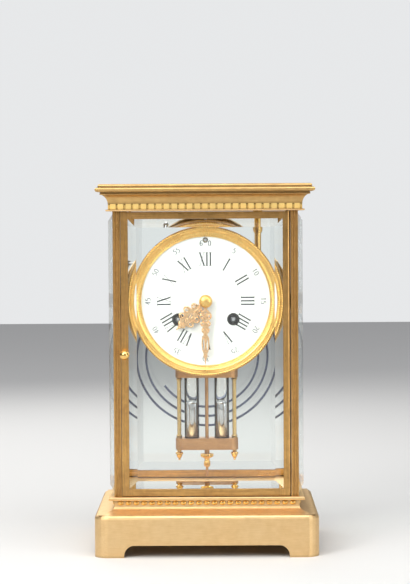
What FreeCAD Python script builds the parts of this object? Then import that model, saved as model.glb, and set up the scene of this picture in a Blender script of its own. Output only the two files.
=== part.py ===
"""Crystal regulator clock: a brass case glazed on four sides, with a two-train movement,
a coil gong and a pendulum with two mercury jars.

Sizes are in millimetres. +Z is up, the dial faces -Y, and the origin is the middle of the
plinth's underside. Angles about the dial's axis are in degrees, clockwise from the front.
"""
import FreeCAD, Part

import math
import os

# The case: posts and doors
case_depth = 110.0
post_width = 5.3
post_depth = 10.0
post_height = 204.3
flute_width = 1.2
flute_depth = 0.4
flute_slope = 0.3
flute_pitch = 1.9
screw_inset_x = 3.1
screw_inset_y = 4.0
door_gap = 0.35
door_end_gap = 0.5
door_thickness = 6.0
door_proud = 0.5
rail_width = 5.15
glass_edge = 2.5
glass_groove = 1.2
door_glass_thickness = 7.0
door_bevel = 6.0
door_glass_inset = 1.5
side_glass_thickness = 7.35
side_bevel = 7.0
side_glass_inset = 3.35
fit_gap = 0.05
small_sides = 6
round_sides = 12
plate_sides = 32
hinge_pin_radius = 0.9
hinge_pin_length = 7.4
hinge_inset = 2.0

# The plinth
plinth_overhang = 14.0
plinth_corner_radius = 10.0
corner_steps = 6
plinth_shoulder = 30.0
plinth_edge_round = 2.7
plinth_height = 39.3
plinth_wall = 4.0
cove_top = 35.2
neck_overhang = 0.3
foot_width = 21.3
arch_height = 8.65
arch_corner_width = 6.0
plinth_deck = 2.3
ledge_height = 26.0
ledge_width = 7.0

# Plates, bands and cornice
floor_overhang = 4.0
floor_thickness = 2.2
ceiling_overhang = 4.7
ceiling_thickness = 1.2
plate_edge_bevel = 0.4
dentil_width = 4.0
dentil_pitch = 5.45
dentil_depth = 1.0
cornice_band_height = 4.0
cornice_band_overhang = 3.1
cornice_height = 18.0
cornice_cove_top = 10.5
cornice_cove_overhang = 8.2
cornice_bead_radius = 0.45
cornice_fillet = 1.1
cornice_wall = 2.7
cornice_torus_radius = 1.5
cornice_torus_overhang = 11.8
cornice_lobe_overhang = 9.8
cornice_lobe_radius = 1.5
cornice_top_thickness = 2.5
boss_half = 2.5

# Door catches
knob_radius = 3.6
knob_reach = 5.4
knob_neck_radius = 1.7
catch_shaft_radius = 1.0
catch_length = 4.0
catch_width = 3.2
catch_thickness = 1.2
catch_clearance = 0.2

# Dial, bezel and hands
dial_sight_radius = 46.2
dial_overlap = 1.3
dial_setback = 15.0
dial_thickness = 1.5
dial_centre_hole = 3.0
bezel_width = 7.7
bezel_headroom = 10.9
bezel_side_gap = 3.8
bezel_depth = 6.0
bezel_lip = 1.6
bezel_slope_width = 3.4
bezel_edge_bevel = 1.3
bezel_sides = 40
pan_thickness = 1.2
pan_inner_radius = 36.5
dial_foot_radius = 1.8
dial_foot_angles = (40.0, 140.0, 220.0, 320.0)
winding_hole_radius = 4.6
winding_collar_bore = 2.4
winding_collar_proud = 0.3
winding_square = 2.6
regulator_inset = 2.4
regulator_radius = 1.0
regulator_square = 1.4
regulator_hole_radius = 1.6
hour_hand_length = 29.9
hour_hand_angle = 226.0
hour_hand_offset = 2.2
minute_hand_tip_gap = 0.7
minute_hand_angle = 180.5
minute_hand_offset = 4.5
hand_thickness = 0.8
hand_rib = 0.7
hour_hub_radius = 4.4
minute_hub_radius = 3.4
hour_profile = (
    (0.05, 1.6), (0.17, 1.4), (0.25, 3.6), (0.34, 2.4), (0.44, 6.2), (0.55, 6.6), (0.64, 3.6),
    (0.71, 4.2), (0.79, 2.0), (0.88, 2.2), (1.0, 0.0))
hour_windows = ((0.38, 0.5, 0.62, 5.2), (0.22, 0.27, 0.33, 2.4))
minute_profile = (
    (0.05, 1.2), (0.14, 1.2), (0.2, 2.6), (0.28, 1.6), (0.36, 3.2), (0.45, 2.6), (0.5, 1.2),
    (0.56, 2.0), (0.66, 1.7), (0.9, 1.0), (1.0, 0.0))
minute_windows = ((0.3, 0.38, 0.47, 2.4), (0.58, 0.66, 0.84, 1.1))
hand_nut_radius = 4.9
hand_nut_height = 3.7
hand_nut_wall = 1.6

# The movement's frame
movement_setback = 8.5
plate_thickness = 2.5
plate_spacing = 32.0
plate_radius = 41.5
plate_lug_width = 8.0
plate_lug_reach = 3.7
pillar_radius = 1.8
pillar_circle = 38.6
pillar_angles = (22.0, 60.0, 180.0, 300.0)
pillar_nut_radius = 2.6
pillar_nut_height = 2.0
rail_height = 10.0
rail_thickness = 3.0
rail_overlap = 3.7
rail_screw_inset = 2.2
bracket_thickness = 2.0
bracket_flange = 20.0
bracket_reach = 4.0
bracket_screw_inset = 4.0
screw_radius = 1.2
screw_head_radius = 2.4
screw_head_height = 2.0
screw_grip = 5.0
small_screw_radius = 0.9
small_screw_head_radius = 1.8
small_screw_head_height = 1.6
small_screw_grip = 1.4

# Wheels: teeth and modules of each mesh
barrel_x = 19.8
barrel_drop = 13.2
tooth_tip = 0.8
tooth_root = 1.15
leaf_tip = 0.7
leaf_root = 1.1
leaf_spread = 0.3
barrel_teeth = 72
barrel_module = 0.5
barrel_length = 18.0
barrel_end_gap = 1.5
second_wheel_gap = 7.5
centre_wheel_gap = 4.5
third_wheel_gap = 15.0
escape_wheel_gap = 5.0
pin_wheel_gap = 9.5
minute_wheel_gap = 2.0
hour_wheel_gap = 3.9
ratchet_gap = 1.6
pivot_end_gap = 0.3
pinion_overlap = 0.4
wheel_hub_radius = 2.6
wheel_rim_width = 1.6
wheel_arm_width = 1.3
wheel_thickness = 1.2
barrel_rim_thickness = 2.5
second_pinion_leaves = 12
second_teeth = 60
second_module = 0.45
centre_pinion_leaves = 12
centre_teeth = 72
centre_module = 0.375
third_pinion_leaves = 6
third_teeth = 72
third_module = 0.3
escape_pinion_leaves = 6
escape_teeth = 36
escape_tip_radius = 8.0
escape_tooth_depth = 1.5
pallet_span_teeth = 9.5
pallet_clearance = 0.25
anchor_height = 36.0
anchor_thickness = 1.6
anchor_hub_radius = 2.0
pallet_length = 1.6
pallet_tip_half = 0.15
pallet_half = 0.9
pallet_root = 1.6
strike_second_module = 0.4
strike_second_bearing = -15.0
pin_bearing = 28.0
fly_bearing = 15.0
lifting_pins = 8
lifting_pin_circle = 6.6
lifting_pin_radius = 0.4
lifting_pin_length = 1.6
pin_pinion_leaves = 10
pin_teeth = 48
pin_module = 0.36
fly_pinion_leaves = 8
fly_radius = 4.6
fly_length = 5.0
fly_thickness = 0.6
fly_gap = 1.0
cannon_leaves = 12
minute_teeth = 36
motion_module = 0.5
minute_pinion_leaves = 10
hour_teeth = 40
hour_module = 0.48
ratchet_teeth = 24
ratchet_radius = 8.5
ratchet_tooth_depth = 1.2
click_boss_radius = 1.8
click_pivot_gap = 3.2
click_pivot_angle = 118.0
click_tip_gap = 0.3
click_tip_angle = 82.0
locking_plate_radius = 14.0
locking_plate_notch = 2.5
locking_plate_thickness = 1.0
locking_plate_gap = 0.8
arbor_radius = 0.8
fine_arbor_radius = 0.5
heavy_arbor_radius = 2.0
cannon_radius = 1.6
hour_pipe_radius = 2.5
running_fit = 0.05

# Suspension, pendulum and hammer
pendulum_setback = 8.5
cock_half_width = 11.5
cock_leg_width = 3.5
cock_thickness = 3.5
cock_rise = 2.5
cock_gap = 2.5
cock_leg_drop = 3.0
spring_thickness = 0.15
spring_width = 6.0
spring_reach = 2.8
chop_width = 4.0
chop_height = 1.6
rod_radius = 1.3
rod_block_width = 5.0
rod_block_depth = 5.6
rod_block_top = 0.6
rod_block_height = 4.4
rod_slot = 0.7
rod_tip_length = 7.0
crutch_length = 28.0
crutch_width = 2.0
crutch_thickness = 1.5
crutch_gap = 1.5
crutch_hub_radius = 2.4
fork_gap = 0.1
fork_thickness = 1.0
tray_width = 46.7
tray_depth = 13.0
tray_bottom = 67.8
tray_height = 8.5
upper_tray_bottom = 121.7
upper_tray_height = 9.0
tray_recess = 2.0
jar_radius = 5.5
jar_wall = 0.8
jar_floor = 1.5
jar_spacing = 22.4
mercury_height = 27.0
side_rod_radius = 1.5
side_rod_spacing = 41.3
finial_radius = 3.0
finial_length = 8.3
finial_bore = 4.5
finial_fit = 0.15
collar_radius = 2.25
collar_height = 3.4
rod_end_height = 2.0
rating_nut_radius = 5.0
rating_nut_height = 3.3
rating_knob_radius = 2.3
rating_knob_gap = 2.7
rating_knob_height = 4.5
neck_length = 2.9
neck_radius = 1.85
hammer_x = -30.0
hammer_z = 26.0
hammer_head_radius = 3.0
hammer_head_length = 8.0
hammer_gap = 0.8
hammer_strike_angle = -45.0
hammer_arm_thickness = 1.6
hammer_arm_half = 1.0
hammer_tail_length = 6.0
hammer_hub_radius = 2.0

# The gong
gong_x = 39.0
gong_setback = 10.0
gong_stud_radius = 3.55
gong_stud_length = 16.5
gong_post_radius = 2.45
gong_block_drop = 71.8
gong_block_radius = 5.0
gong_block_width = 8.0
gong_flat = 4.0
gong_angle = 36.0
gong_radius = 53.0
gong_pitch = 7.0
gong_half_turns = 5
gong_wire_width = 1.6
gong_wire_depth = 2.4

# Places that follow from the sizes above
bezel_outer_radius = dial_sight_radius + bezel_width
half_width = bezel_outer_radius + bezel_side_gap + rail_thickness + post_width
half_depth = case_depth / 2
floor_top = plinth_height + floor_thickness
ceiling_bottom = floor_top + post_height
band_bottom = ceiling_bottom + ceiling_thickness
dial_height = ceiling_bottom - bezel_headroom - bezel_outer_radius
dial_radius = dial_sight_radius + dial_overlap
dial_face = -half_depth + dial_setback
dial_back = dial_face + dial_thickness
pan_back = dial_back + pan_thickness
regulator_height = dial_sight_radius - regulator_inset
front_plate_face = dial_face + movement_setback
front_plate_back = front_plate_face + plate_thickness
back_plate_front = front_plate_back + plate_spacing
back_plate_back = back_plate_front + plate_thickness
pendulum_plane = back_plate_back + pendulum_setback
gong_plane = pendulum_plane + gong_setback
gong_block_height = ceiling_bottom - gong_block_drop
minute_hand_length = dial_sight_radius - minute_hand_tip_gap
door_half_width = half_width - post_width - door_gap
door_bottom = floor_top + door_end_gap
door_top = ceiling_bottom - door_end_gap
catch_height = (door_bottom + door_top) / 2
door_front = half_depth + door_proud
door_back = door_front - door_thickness
sight_half_width = door_half_width - rail_width
glass_inner = door_back + door_glass_inset
rail_inner = half_width - post_width - rail_thickness
nut_front = dial_face - minute_hand_offset - hand_thickness - hand_nut_height


def box(low, high):
    """A block between two opposite corners."""
    size = [high[i] - low[i] for i in range(3)]
    return Part.makeBox(size[0], size[1], size[2], FreeCAD.Vector(*low))


def centred_box(half_x, half_y, z0, z1):
    """A block about the Z axis between two heights."""
    return box((-half_x, -half_y, z0), (half_x, half_y, z1))


def ring_points(radius, sides=small_sides):
    """The corners of a regular polygon, which stands for a small circle."""
    return [polar((0.0, 0.0), radius, (number + 0.5) * 360 / sides) for number in range(sides)]


def hole_radius(radius, gap, sides=small_sides):
    """The corner radius of a faceted hole that clears a round bar by a gap."""
    return (radius + gap) / math.cos(math.pi / sides)


def pin_upright(radius, z0, z1, x=0.0, y=0.0):
    """A small faceted bar along Z: a screw, a stud or its hole."""
    points = [FreeCAD.Vector(x + u, y + v, z0) for u, v in ring_points(radius)]
    return Part.Face(Part.makePolygon(points + points[:1])).extrude(FreeCAD.Vector(0, 0, z1 - z0))


def bar_upright(radius, z0, z1, x, y):
    """A larger faceted bar along Z: a rod, a jar or its hole. The radius is to the flats."""
    corner = radius / math.cos(math.pi / round_sides)
    points = [FreeCAD.Vector(x + u, y + v, z0) for u, v in ring_points(corner, round_sides)]
    return Part.Face(Part.makePolygon(points + points[:1])).extrude(FreeCAD.Vector(0, 0, z1 - z0))


def pin_arbor(radius, y0, y1, place=(0.0, 0.0)):
    """A small faceted bar along Y, at a place given from the dial's centre."""
    points = [FreeCAD.Vector(place[0] + u, y0, dial_height + place[1] + v) for u, v in ring_points(radius)]
    return Part.Face(Part.makePolygon(points + points[:1])).extrude(FreeCAD.Vector(0, y1 - y0, 0))


def pin_crossbar(radius, x0, x1, y, z):
    """A small faceted bar along X."""
    points = [FreeCAD.Vector(x0, y + u, z + v) for u, v in ring_points(radius)]
    return Part.Face(Part.makePolygon(points + points[:1])).extrude(FreeCAD.Vector(x1 - x0, 0, 0))


def fused(shapes):
    """One shape from overlapping or touching ones."""
    joined = shapes[0]
    if len(shapes) > 1:
        joined = shapes[0].fuse(list(shapes[1:]))
    return joined.removeSplitter()


def polar(centre, radius, angle):
    """A place at a clockwise angle from 12 o'clock about a centre."""
    turn = math.radians(angle)
    return (centre[0] + radius * math.sin(turn), centre[1] + radius * math.cos(turn))


def bearing(centre, other):
    """The clockwise angle from 12 o'clock of the line from one centre to another."""
    return math.degrees(math.atan2(other[0] - centre[0], other[1] - centre[1]))


def meeting_point(first, first_radius, second, second_radius, side):
    """Where two circles cross, on the given side of the line between their centres."""
    across = math.dist(first, second)
    along = (first_radius ** 2 - second_radius ** 2 + across ** 2) / (2 * across)
    rise = math.sqrt(first_radius ** 2 - along ** 2) * side
    ux = (second[0] - first[0]) / across
    uz = (second[1] - first[1]) / across
    return (first[0] + along * ux - rise * uz, first[1] + along * uz + rise * ux)


def dial_plane_face(outlines, y):
    """A flat face across Y, from an outer outline and the outlines of its holes."""
    wires = []
    for outline in outlines:
        points = [FreeCAD.Vector(x, y, dial_height + z) for x, z in outline]
        wires.append(Part.makePolygon(points + points[:1]))
    return Part.makeFace(wires, "Part::FaceMakerBullseye")


def dial_plane_solid(outlines, y0, y1):
    """A plate along Y, from an outer outline and the outlines of its holes."""
    return dial_plane_face(outlines, y0).extrude(FreeCAD.Vector(0, y1 - y0, 0))


def stacked_rings(rings, closed):
    """A solid with flat facets between rings of points; a closed stack ends where it starts."""
    sides = len(rings[0])
    faces = []
    pairs = list(zip(rings, rings[1:]))
    if closed:
        pairs.append((rings[-1], rings[0]))
    else:
        faces += [Part.Face(Part.makePolygon(ring + ring[:1])) for ring in (rings[0], rings[-1])]
    for near, far in pairs:
        for number in range(sides):
            after = (number + 1) % sides
            corners = [near[number], near[after], far[after], far[number]]
            apart = [c for i, c in enumerate(corners) if c.distanceToPoint(corners[i - 1]) > 1e-9]
            if len(apart) > 2:
                faces.append(Part.Face(Part.makePolygon(apart + apart[:1])))
    solid = Part.makeSolid(Part.makeShell(faces))
    return solid if solid.Volume > 0 else solid.reversed()


def faceted_turning(profile, sides, to_space):
    """A solid turned from (radius, distance) points. A zero radius is on the axis."""
    rings = []
    for radius, distance in profile:
        corners = [to_space(u, v, distance) for u, v in ring_points(radius, sides)]
        rings.append(corners if radius > 0 else [to_space(0.0, 0.0, distance)] * sides)
    return stacked_rings(rings, True)


def turned(profile, sides=round_sides, place=(0.0, 0.0)):
    """A ring or knob turned about a line along Y, from (radius, y) points."""
    def to_space(u, v, y):
        return FreeCAD.Vector(place[0] + u, y, dial_height + place[1] + v)
    return faceted_turning(profile, sides, to_space)


def turned_upright(profile, x=0.0, y=0.0, sides=round_sides):
    """A body turned about a line along Z, from (radius, z) points."""
    def to_space(u, v, z):
        return FreeCAD.Vector(x + u, y + v, z)
    return faceted_turning(profile, sides, to_space)


def mirrored_x(shape):
    """The same piece on the other side of the case."""
    return shape.mirror(FreeCAD.Vector(0, 0, 0), FreeCAD.Vector(1, 0, 0))


def mirrored_y(shape):
    """The same piece at the other face of the case."""
    return shape.mirror(FreeCAD.Vector(0, 0, 0), FreeCAD.Vector(0, 1, 0))


def half_turned(shape):
    """The same piece turned half way round the case's upright axis."""
    copy = shape.copy()
    copy.rotate(FreeCAD.Vector(0, 0, 0), FreeCAD.Vector(0, 0, 1), 180)
    return copy


def save(node, shapes):
    """Write one sub-part, made of one or more separate solids."""
    shape = shapes[0] if len(shapes) == 1 else Part.makeCompound(shapes)
    shape.exportStep("parts/" + node + ".step")


def rounded_ring(half_x, half_y, radius, z):
    """The corners of a rectangle with rounded corners, at one height."""
    ring = []
    for turn, sign_x, sign_y in ((0, 1, 1), (90, 1, -1), (180, -1, -1), (270, -1, 1)):
        middle = (sign_x * (half_x - radius), sign_y * (half_y - radius))
        for step in range(corner_steps + 1):
            x, y = polar(middle, radius, turn + step * 90 / corner_steps)
            ring.append(FreeCAD.Vector(x, y, z))
    return ring


def rounded_block(half_x, half_y, radius, z0, z1, edge=0.0):
    """A block with rounded upright corners, and a rounded top edge if one is wanted."""
    rings = [rounded_ring(half_x, half_y, radius, z0)]
    for turn in ((0, 30, 60, 90) if edge else (90,)):
        inset = edge * (1 - math.cos(math.radians(turn)))
        drop = edge * (1 - math.sin(math.radians(turn)))
        rings.append(rounded_ring(half_x - inset, half_y - inset, radius - inset, z1 - drop))
    return stacked_rings(rings, False)


def edges_at(shape, z):
    """The edges that lie at one height."""
    return [e for e in shape.Edges if abs(e.BoundBox.ZMin - z) < 1e-6 and abs(e.BoundBox.ZMax - z) < 1e-6]


def swept_moulding(edges):
    """A mitred moulding round the case. Its section's edges are made at the right-hand side."""
    section = Part.Face(Part.Wire(Part.__sortEdges__(edges)))
    reach = half_width + plinth_overhang + 1
    lengths = []
    for turn, along in ((0, half_depth), (90, half_width), (180, half_depth), (270, half_width)):
        out = half_width if turn in (0, 180) else half_depth
        side = section.copy()
        side.translate(FreeCAD.Vector(out - half_width, -reach, 0))
        side = side.extrude(FreeCAD.Vector(0, 2 * reach, 0))
        apex = out - along
        low = section.BoundBox.ZMin - 1
        high = section.BoundBox.ZMax + 1
        points = [(apex, 0), (apex + reach, -reach), (apex + reach, reach), (apex, 0)]
        mitre = Part.Face(Part.makePolygon([FreeCAD.Vector(x, y, low) for x, y in points]))
        side = side.common(mitre.extrude(FreeCAD.Vector(0, 0, high - low)))
        side.rotate(FreeCAD.Vector(0, 0, 0), FreeCAD.Vector(0, 0, 1), turn)
        lengths.append(side)
    return fused(lengths)


def moulding_point(overhang, z):
    """A point of a moulding's section, from how far it stands out from the posts."""
    return FreeCAD.Vector(half_width + overhang, 0, z)


def line(start, end):
    return Part.LineSegment(start, end).toShape()


def arc(start, middle, end):
    return Part.Arc(start, middle, end).toShape()


def arc_about(centre, start, end):
    """The shorter arc about a centre between two points."""
    radius = centre.distanceToPoint(start)
    towards = (start - centre) + (end - centre)
    return arc(start, centre + towards.normalize() * radius, end)


def cove(flat_end, tight_end, centre):
    """Two tangent arcs close to a quarter ellipse, a wide one and then a tight one."""
    short = flat_end - centre
    long = tight_end - centre
    tight_radius = 0.6 * short.Length
    wide_radius = (long.Length ** 2 + short.Length ** 2 - 2 * long.Length * tight_radius)
    wide_radius /= 2 * (short.Length - tight_radius)
    wide_centre = flat_end - short * (wide_radius / short.Length)
    tight_centre = tight_end - long * (tight_radius / long.Length)
    joint = tight_centre + (tight_centre - wide_centre).normalize() * tight_radius
    return [arc_about(wide_centre, flat_end, joint), arc_about(tight_centre, joint, tight_end)]


def comb_band(overhang, backing, depth, tooth, pitch, z0, z1):
    """A square ring with evenly spaced upright blocks on its four sides."""
    outline = []
    corners = ((1, 0), (0, 1), (-1, 0), (0, -1))
    for side_x, side_y in corners:
        out = (half_width if side_x else half_depth) + overhang
        along = (half_depth if side_x else half_width) + overhang
        count = int((2 * along - tooth) // pitch) + 1
        first = -(count - 1) * pitch / 2
        steps = [(out - depth, -along + depth)]
        for number in range(count):
            middle = first + number * pitch
            for edge, reach in ((-1, -depth), (-1, 0), (1, 0), (1, -depth)):
                steps.append((out + reach, middle + edge * tooth / 2))
        for reach, run in steps:
            outline.append((reach * side_x - run * side_y, reach * side_y + run * side_x))
    outer = Part.makePolygon([FreeCAD.Vector(x, y, z0) for x, y in outline + outline[:1]])
    inner_x = half_width + overhang - depth - backing
    inner_y = half_depth + overhang - depth - backing
    corner_signs = ((1, 1), (-1, 1), (-1, -1), (1, -1), (1, 1))
    inner = Part.makePolygon([FreeCAD.Vector(inner_x * sx, inner_y * sy, z0) for sx, sy in corner_signs])
    face = Part.makeFace([outer, inner], "Part::FaceMakerBullseye")
    return face.extrude(FreeCAD.Vector(0, 0, z1 - z0))


def corner_places(inset_x, inset_y):
    """The four places that lie inside the case's corners by the given amounts."""
    x = half_width - inset_x
    y = half_depth - inset_y
    return [(sx * x, sy * y) for sx in (-1, 1) for sy in (-1, 1)]


def case_screw_places():
    return corner_places(screw_inset_x, screw_inset_y)


def arch_cutter(half_span, reach, along_x):
    """The shape of an arch under the plinth: a flat top with rounded corners."""
    start = half_span
    turn = half_span - arch_corner_width
    bulge = math.sin(math.radians(45))
    middle = turn + arch_corner_width * bulge
    rise = arch_height * bulge

    def place(run, z):
        return FreeCAD.Vector(reach, run, z) if along_x else FreeCAD.Vector(run, reach, z)

    edges = [
        line(place(-start, 0), place(start, 0)),
        arc(place(start, 0), place(middle, rise), place(turn, arch_height)),
        line(place(turn, arch_height), place(-turn, arch_height)),
        arc(place(-turn, arch_height), place(-middle, rise), place(-start, 0)),
    ]
    travel = FreeCAD.Vector(-2 * reach, 0, 0) if along_x else FreeCAD.Vector(0, -2 * reach, 0)
    return Part.Face(Part.Wire(edges)).extrude(travel)


def make_plinth():
    """The hollow base: bracket feet, a rounded shoulder, a cove and a plain neck."""
    outer_x = half_width + plinth_overhang
    outer_y = half_depth + plinth_overhang
    body = rounded_block(
        outer_x, outer_y, plinth_corner_radius, 0, plinth_shoulder, plinth_edge_round)
    cove_start = moulding_point(plinth_overhang - plinth_edge_round, plinth_shoulder)
    cove_end = moulding_point(neck_overhang, cove_top)
    inside = moulding_point(-ledge_width, cove_top)
    below = moulding_point(-ledge_width, plinth_shoulder)
    curve = cove(cove_start, cove_end, FreeCAD.Vector(cove_start.x, 0, cove_end.z))
    slope = swept_moulding(curve + [line(cove_end, inside), line(inside, below), line(below, cove_start)])
    column = centred_box(half_width + neck_overhang, half_depth + neck_overhang, ledge_height, plinth_height)
    plinth = fused([body, slope, column])
    inner_x = outer_x - plinth_wall
    inner_y = outer_y - plinth_wall
    plinth = plinth.cut(rounded_block(inner_x, inner_y, plinth_corner_radius - plinth_wall, 0, ledge_height))
    hollow_top = plinth_height - plinth_deck
    hollow_x = half_width - ledge_width
    hollow_y = half_depth - ledge_width
    plinth = plinth.cut(centred_box(hollow_x, hollow_y, ledge_height - 1, hollow_top))
    plinth = plinth.cut(arch_cutter(outer_x - foot_width, outer_y + 1, False))
    plinth = plinth.cut(arch_cutter(outer_y - foot_width, outer_x + 1, True))
    screw_hole = hole_radius(screw_radius, fit_gap)
    for x, y in case_screw_places():
        plinth = plinth.cut(pin_upright(screw_hole, ledge_height - 1, plinth_height + 1, x, y))
    save("plinth", [plinth.removeSplitter()])


def make_dentil_band():
    """The band of small blocks under the cornice."""
    save("cornice_dentil_band", [comb_band(
        cornice_band_overhang, dentil_depth, dentil_depth, dentil_width, dentil_pitch,
        band_bottom, band_bottom + cornice_band_height)])


def plate(overhang, z0, z1):
    """A floor or ceiling plate with bevelled edges and holes for the case screws."""
    slab = centred_box(half_width + overhang, half_depth + overhang, z0, z1)
    slab = slab.makeChamfer(plate_edge_bevel, edges_at(slab, z0) + edges_at(slab, z1))
    for x, y in case_screw_places():
        slab = slab.cut(pin_upright(hole_radius(screw_radius, fit_gap), z0 - 1, z1 + 1, x, y))
    for turned_about in (1, -1):
        x = turned_about * (door_half_width - hinge_inset)
        y = -turned_about * (door_front - hinge_inset)
        slab = slab.cut(pin_upright(hole_radius(hinge_pin_radius, fit_gap), z0 - 1, z1 + 1, x, y))
    return slab


def make_plates():
    """The floor plate on the plinth and the ceiling plate, which also carries the gong."""
    save("floor_plate", [plate(floor_overhang, plinth_height, floor_top)])
    ceiling = plate(ceiling_overhang, ceiling_bottom, band_bottom)
    gong_hole = hole_radius(small_screw_radius, fit_gap)
    ceiling = ceiling.cut(pin_upright(gong_hole, ceiling_bottom - 1, band_bottom + 1, gong_x, gong_plane))
    save("ceiling_plate", [ceiling])


def fluted_run(start, direction, inward, length, count):
    """The edges along one face of a post, with evenly spaced hollow flutes."""
    edges = []
    here = start
    flute_half = flute_width / 2
    for number in range(count):
        middle = length / 2 + (number - (count - 1) / 2) * flute_pitch
        near = start + direction * (middle - flute_half)
        far = start + direction * (middle + flute_half)
        low = inward * flute_depth
        edges.append(line(here, near))
        edges.append(line(near, near + direction * flute_slope + low))
        edges.append(line(near + direction * flute_slope + low, far - direction * flute_slope + low))
        edges.append(line(far - direction * flute_slope + low, far))
        here = far
    edges.append(line(here, start + direction * length))
    return edges


def make_post():
    """One corner post at the front right: fluted outside, grooved for the side glass."""
    groove_out = half_width - side_glass_inset + glass_edge + fit_gap
    groove_in = half_width - side_glass_inset - fit_gap
    back = -half_depth + post_depth
    groove_end = back - glass_groove - fit_gap
    across = FreeCAD.Vector(1, 0, 0)
    deep = FreeCAD.Vector(0, 1, 0)
    front_left = FreeCAD.Vector(half_width - post_width, -half_depth, floor_top)
    front_right = FreeCAD.Vector(half_width, -half_depth, floor_top)
    edges = fluted_run(front_left, across, deep, post_width, 2)
    edges += fluted_run(front_right, deep, across * -1, post_depth, 3)
    corners = [
        (half_width, back), (groove_out, back), (groove_out, groove_end), (groove_in, groove_end),
        (groove_in, back), (half_width - post_width, back), (half_width - post_width, -half_depth),
    ]
    points = [FreeCAD.Vector(x, y, floor_top) for x, y in corners]
    edges += [line(points[i], points[i + 1]) for i in range(len(points) - 1)]
    outline = Part.Face(Part.Wire(Part.__sortEdges__(edges)))
    post = outline.extrude(FreeCAD.Vector(0, 0, post_height))
    x, y = half_width - screw_inset_x, -half_depth + screw_inset_y
    hole = hole_radius(screw_radius, fit_gap)
    post = post.cut(pin_upright(hole, floor_top - 1, floor_top + screw_grip + 0.5, x, y))
    post = post.cut(pin_upright(hole, ceiling_bottom - screw_grip - 0.5, ceiling_bottom + 1, x, y))
    inner_face = half_width - post_width
    hole_end = inner_face + small_screw_grip + 0.1
    rail_hole = hole_radius(small_screw_radius, fit_gap)
    return post.cut(pin_crossbar(rail_hole, inner_face - 1, hole_end, rail_screw_y(), dial_height))


def rail_screw_y():
    """How far forward the rails' end screws stand, at the front."""
    return -(half_depth - post_depth + rail_screw_inset)


def make_posts():
    right_front = make_post()
    right_rear = mirrored_y(right_front)
    save("corner_posts", [right_front, mirrored_x(right_front), right_rear, mirrored_x(right_rear)])


def bevelled_glass(edge_low, edge_high, edge_thickness, sight_low, sight_high, bevel, thickness):
    """A pane in its own plane: a thin edge all round, and a thick middle with sloping bevels."""
    slab = box((edge_low[0], edge_low[1], 0), (edge_high[0], edge_high[1], edge_thickness))

    def outline(inset, z):
        low = (sight_low[0] + inset, sight_low[1] + inset)
        high = (sight_high[0] - inset, sight_high[1] - inset)
        corners = (low, (high[0], low[1]), high, (low[0], high[1]), low)
        return Part.makePolygon([FreeCAD.Vector(x, y, z) for x, y in corners])

    raised = Part.makeLoft([outline(0.0, edge_thickness), outline(bevel, thickness)], True, True)
    return slab.fuse(raised)


def make_side_glasses():
    """Thick bevelled panes held in the grooves of the posts, standing proud of them."""
    reach = half_depth - post_depth + glass_groove
    sight = half_depth - post_depth - fit_gap
    pane = bevelled_glass(
        (floor_top, -reach), (ceiling_bottom, reach), glass_edge,
        (floor_top + fit_gap, -sight), (ceiling_bottom - fit_gap, sight), side_bevel, side_glass_thickness)
    pane.rotate(FreeCAD.Vector(0, 0, 0), FreeCAD.Vector(0, 1, 0), 90)
    pane = pane.mirror(FreeCAD.Vector(0, 0, 0), FreeCAD.Vector(0, 0, 1))
    pane.translate(FreeCAD.Vector(half_width - side_glass_inset, 0, 0))
    save("side_glass_right", [pane])
    save("side_glass_left", [mirrored_x(pane)])


def make_door():
    """The front door: a grooved frame, its bevelled pane and the two pins it hangs on."""
    frame = box((-door_half_width, -door_front, door_bottom), (door_half_width, -door_back, door_top))
    hinge_edge = [
        e for e in frame.Edges
        if abs(e.BoundBox.XMin - door_half_width) < 1e-6 and abs(e.BoundBox.YMax + door_front) < 1e-6
        and e.Length > door_thickness * 2]
    frame = frame.makeFillet(hinge_inset - 0.01, hinge_edge)
    sight_bottom = door_bottom + rail_width
    sight_top = door_top - rail_width
    frame = frame.cut(box(
        (-sight_half_width, -door_front - 1, sight_bottom), (sight_half_width, -door_back + 1, sight_top)))
    groove = glass_groove + fit_gap
    glass_outer = glass_inner + glass_edge
    frame = frame.cut(box(
        (-sight_half_width - groove, -glass_outer - fit_gap, sight_bottom - groove),
        (sight_half_width + groove, -glass_inner + fit_gap, sight_top + groove)))
    hinge_x = door_half_width - hinge_inset
    hinge_y = -door_front + hinge_inset
    pin_top = plinth_height + hinge_pin_length
    bore = hole_radius(hinge_pin_radius, running_fit)
    frame = frame.cut(pin_upright(bore, door_bottom - 1, pin_top + 0.3, hinge_x, hinge_y))
    upper_pin_bottom = band_bottom - hinge_pin_length
    frame = frame.cut(pin_upright(bore, upper_pin_bottom - 0.3, door_top + 1, hinge_x, hinge_y))
    place = (-catch_x(), catch_height - dial_height)
    frame = frame.cut(pin_arbor(
        hole_radius(catch_shaft_radius, running_fit), -door_front - 1, -door_back + 1, place))
    pane = bevelled_glass(
        (-sight_half_width - glass_groove, sight_bottom - glass_groove),
        (sight_half_width + glass_groove, sight_top + glass_groove), glass_edge,
        (-sight_half_width + fit_gap, sight_bottom + fit_gap),
        (sight_half_width - fit_gap, sight_top - fit_gap), door_bevel, door_glass_thickness)
    pane.rotate(FreeCAD.Vector(0, 0, 0), FreeCAD.Vector(1, 0, 0), 90)
    pane.translate(FreeCAD.Vector(0, -glass_inner, 0))
    pins = [
        pin_upright(hinge_pin_radius, plinth_height, pin_top, hinge_x, hinge_y),
        pin_upright(hinge_pin_radius, upper_pin_bottom, band_bottom, hinge_x, hinge_y),
    ]
    return frame, pane, pins


def catch_x():
    """How far to the side the door's catch stands: the middle of its stile."""
    return door_half_width - rail_width / 2


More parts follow.
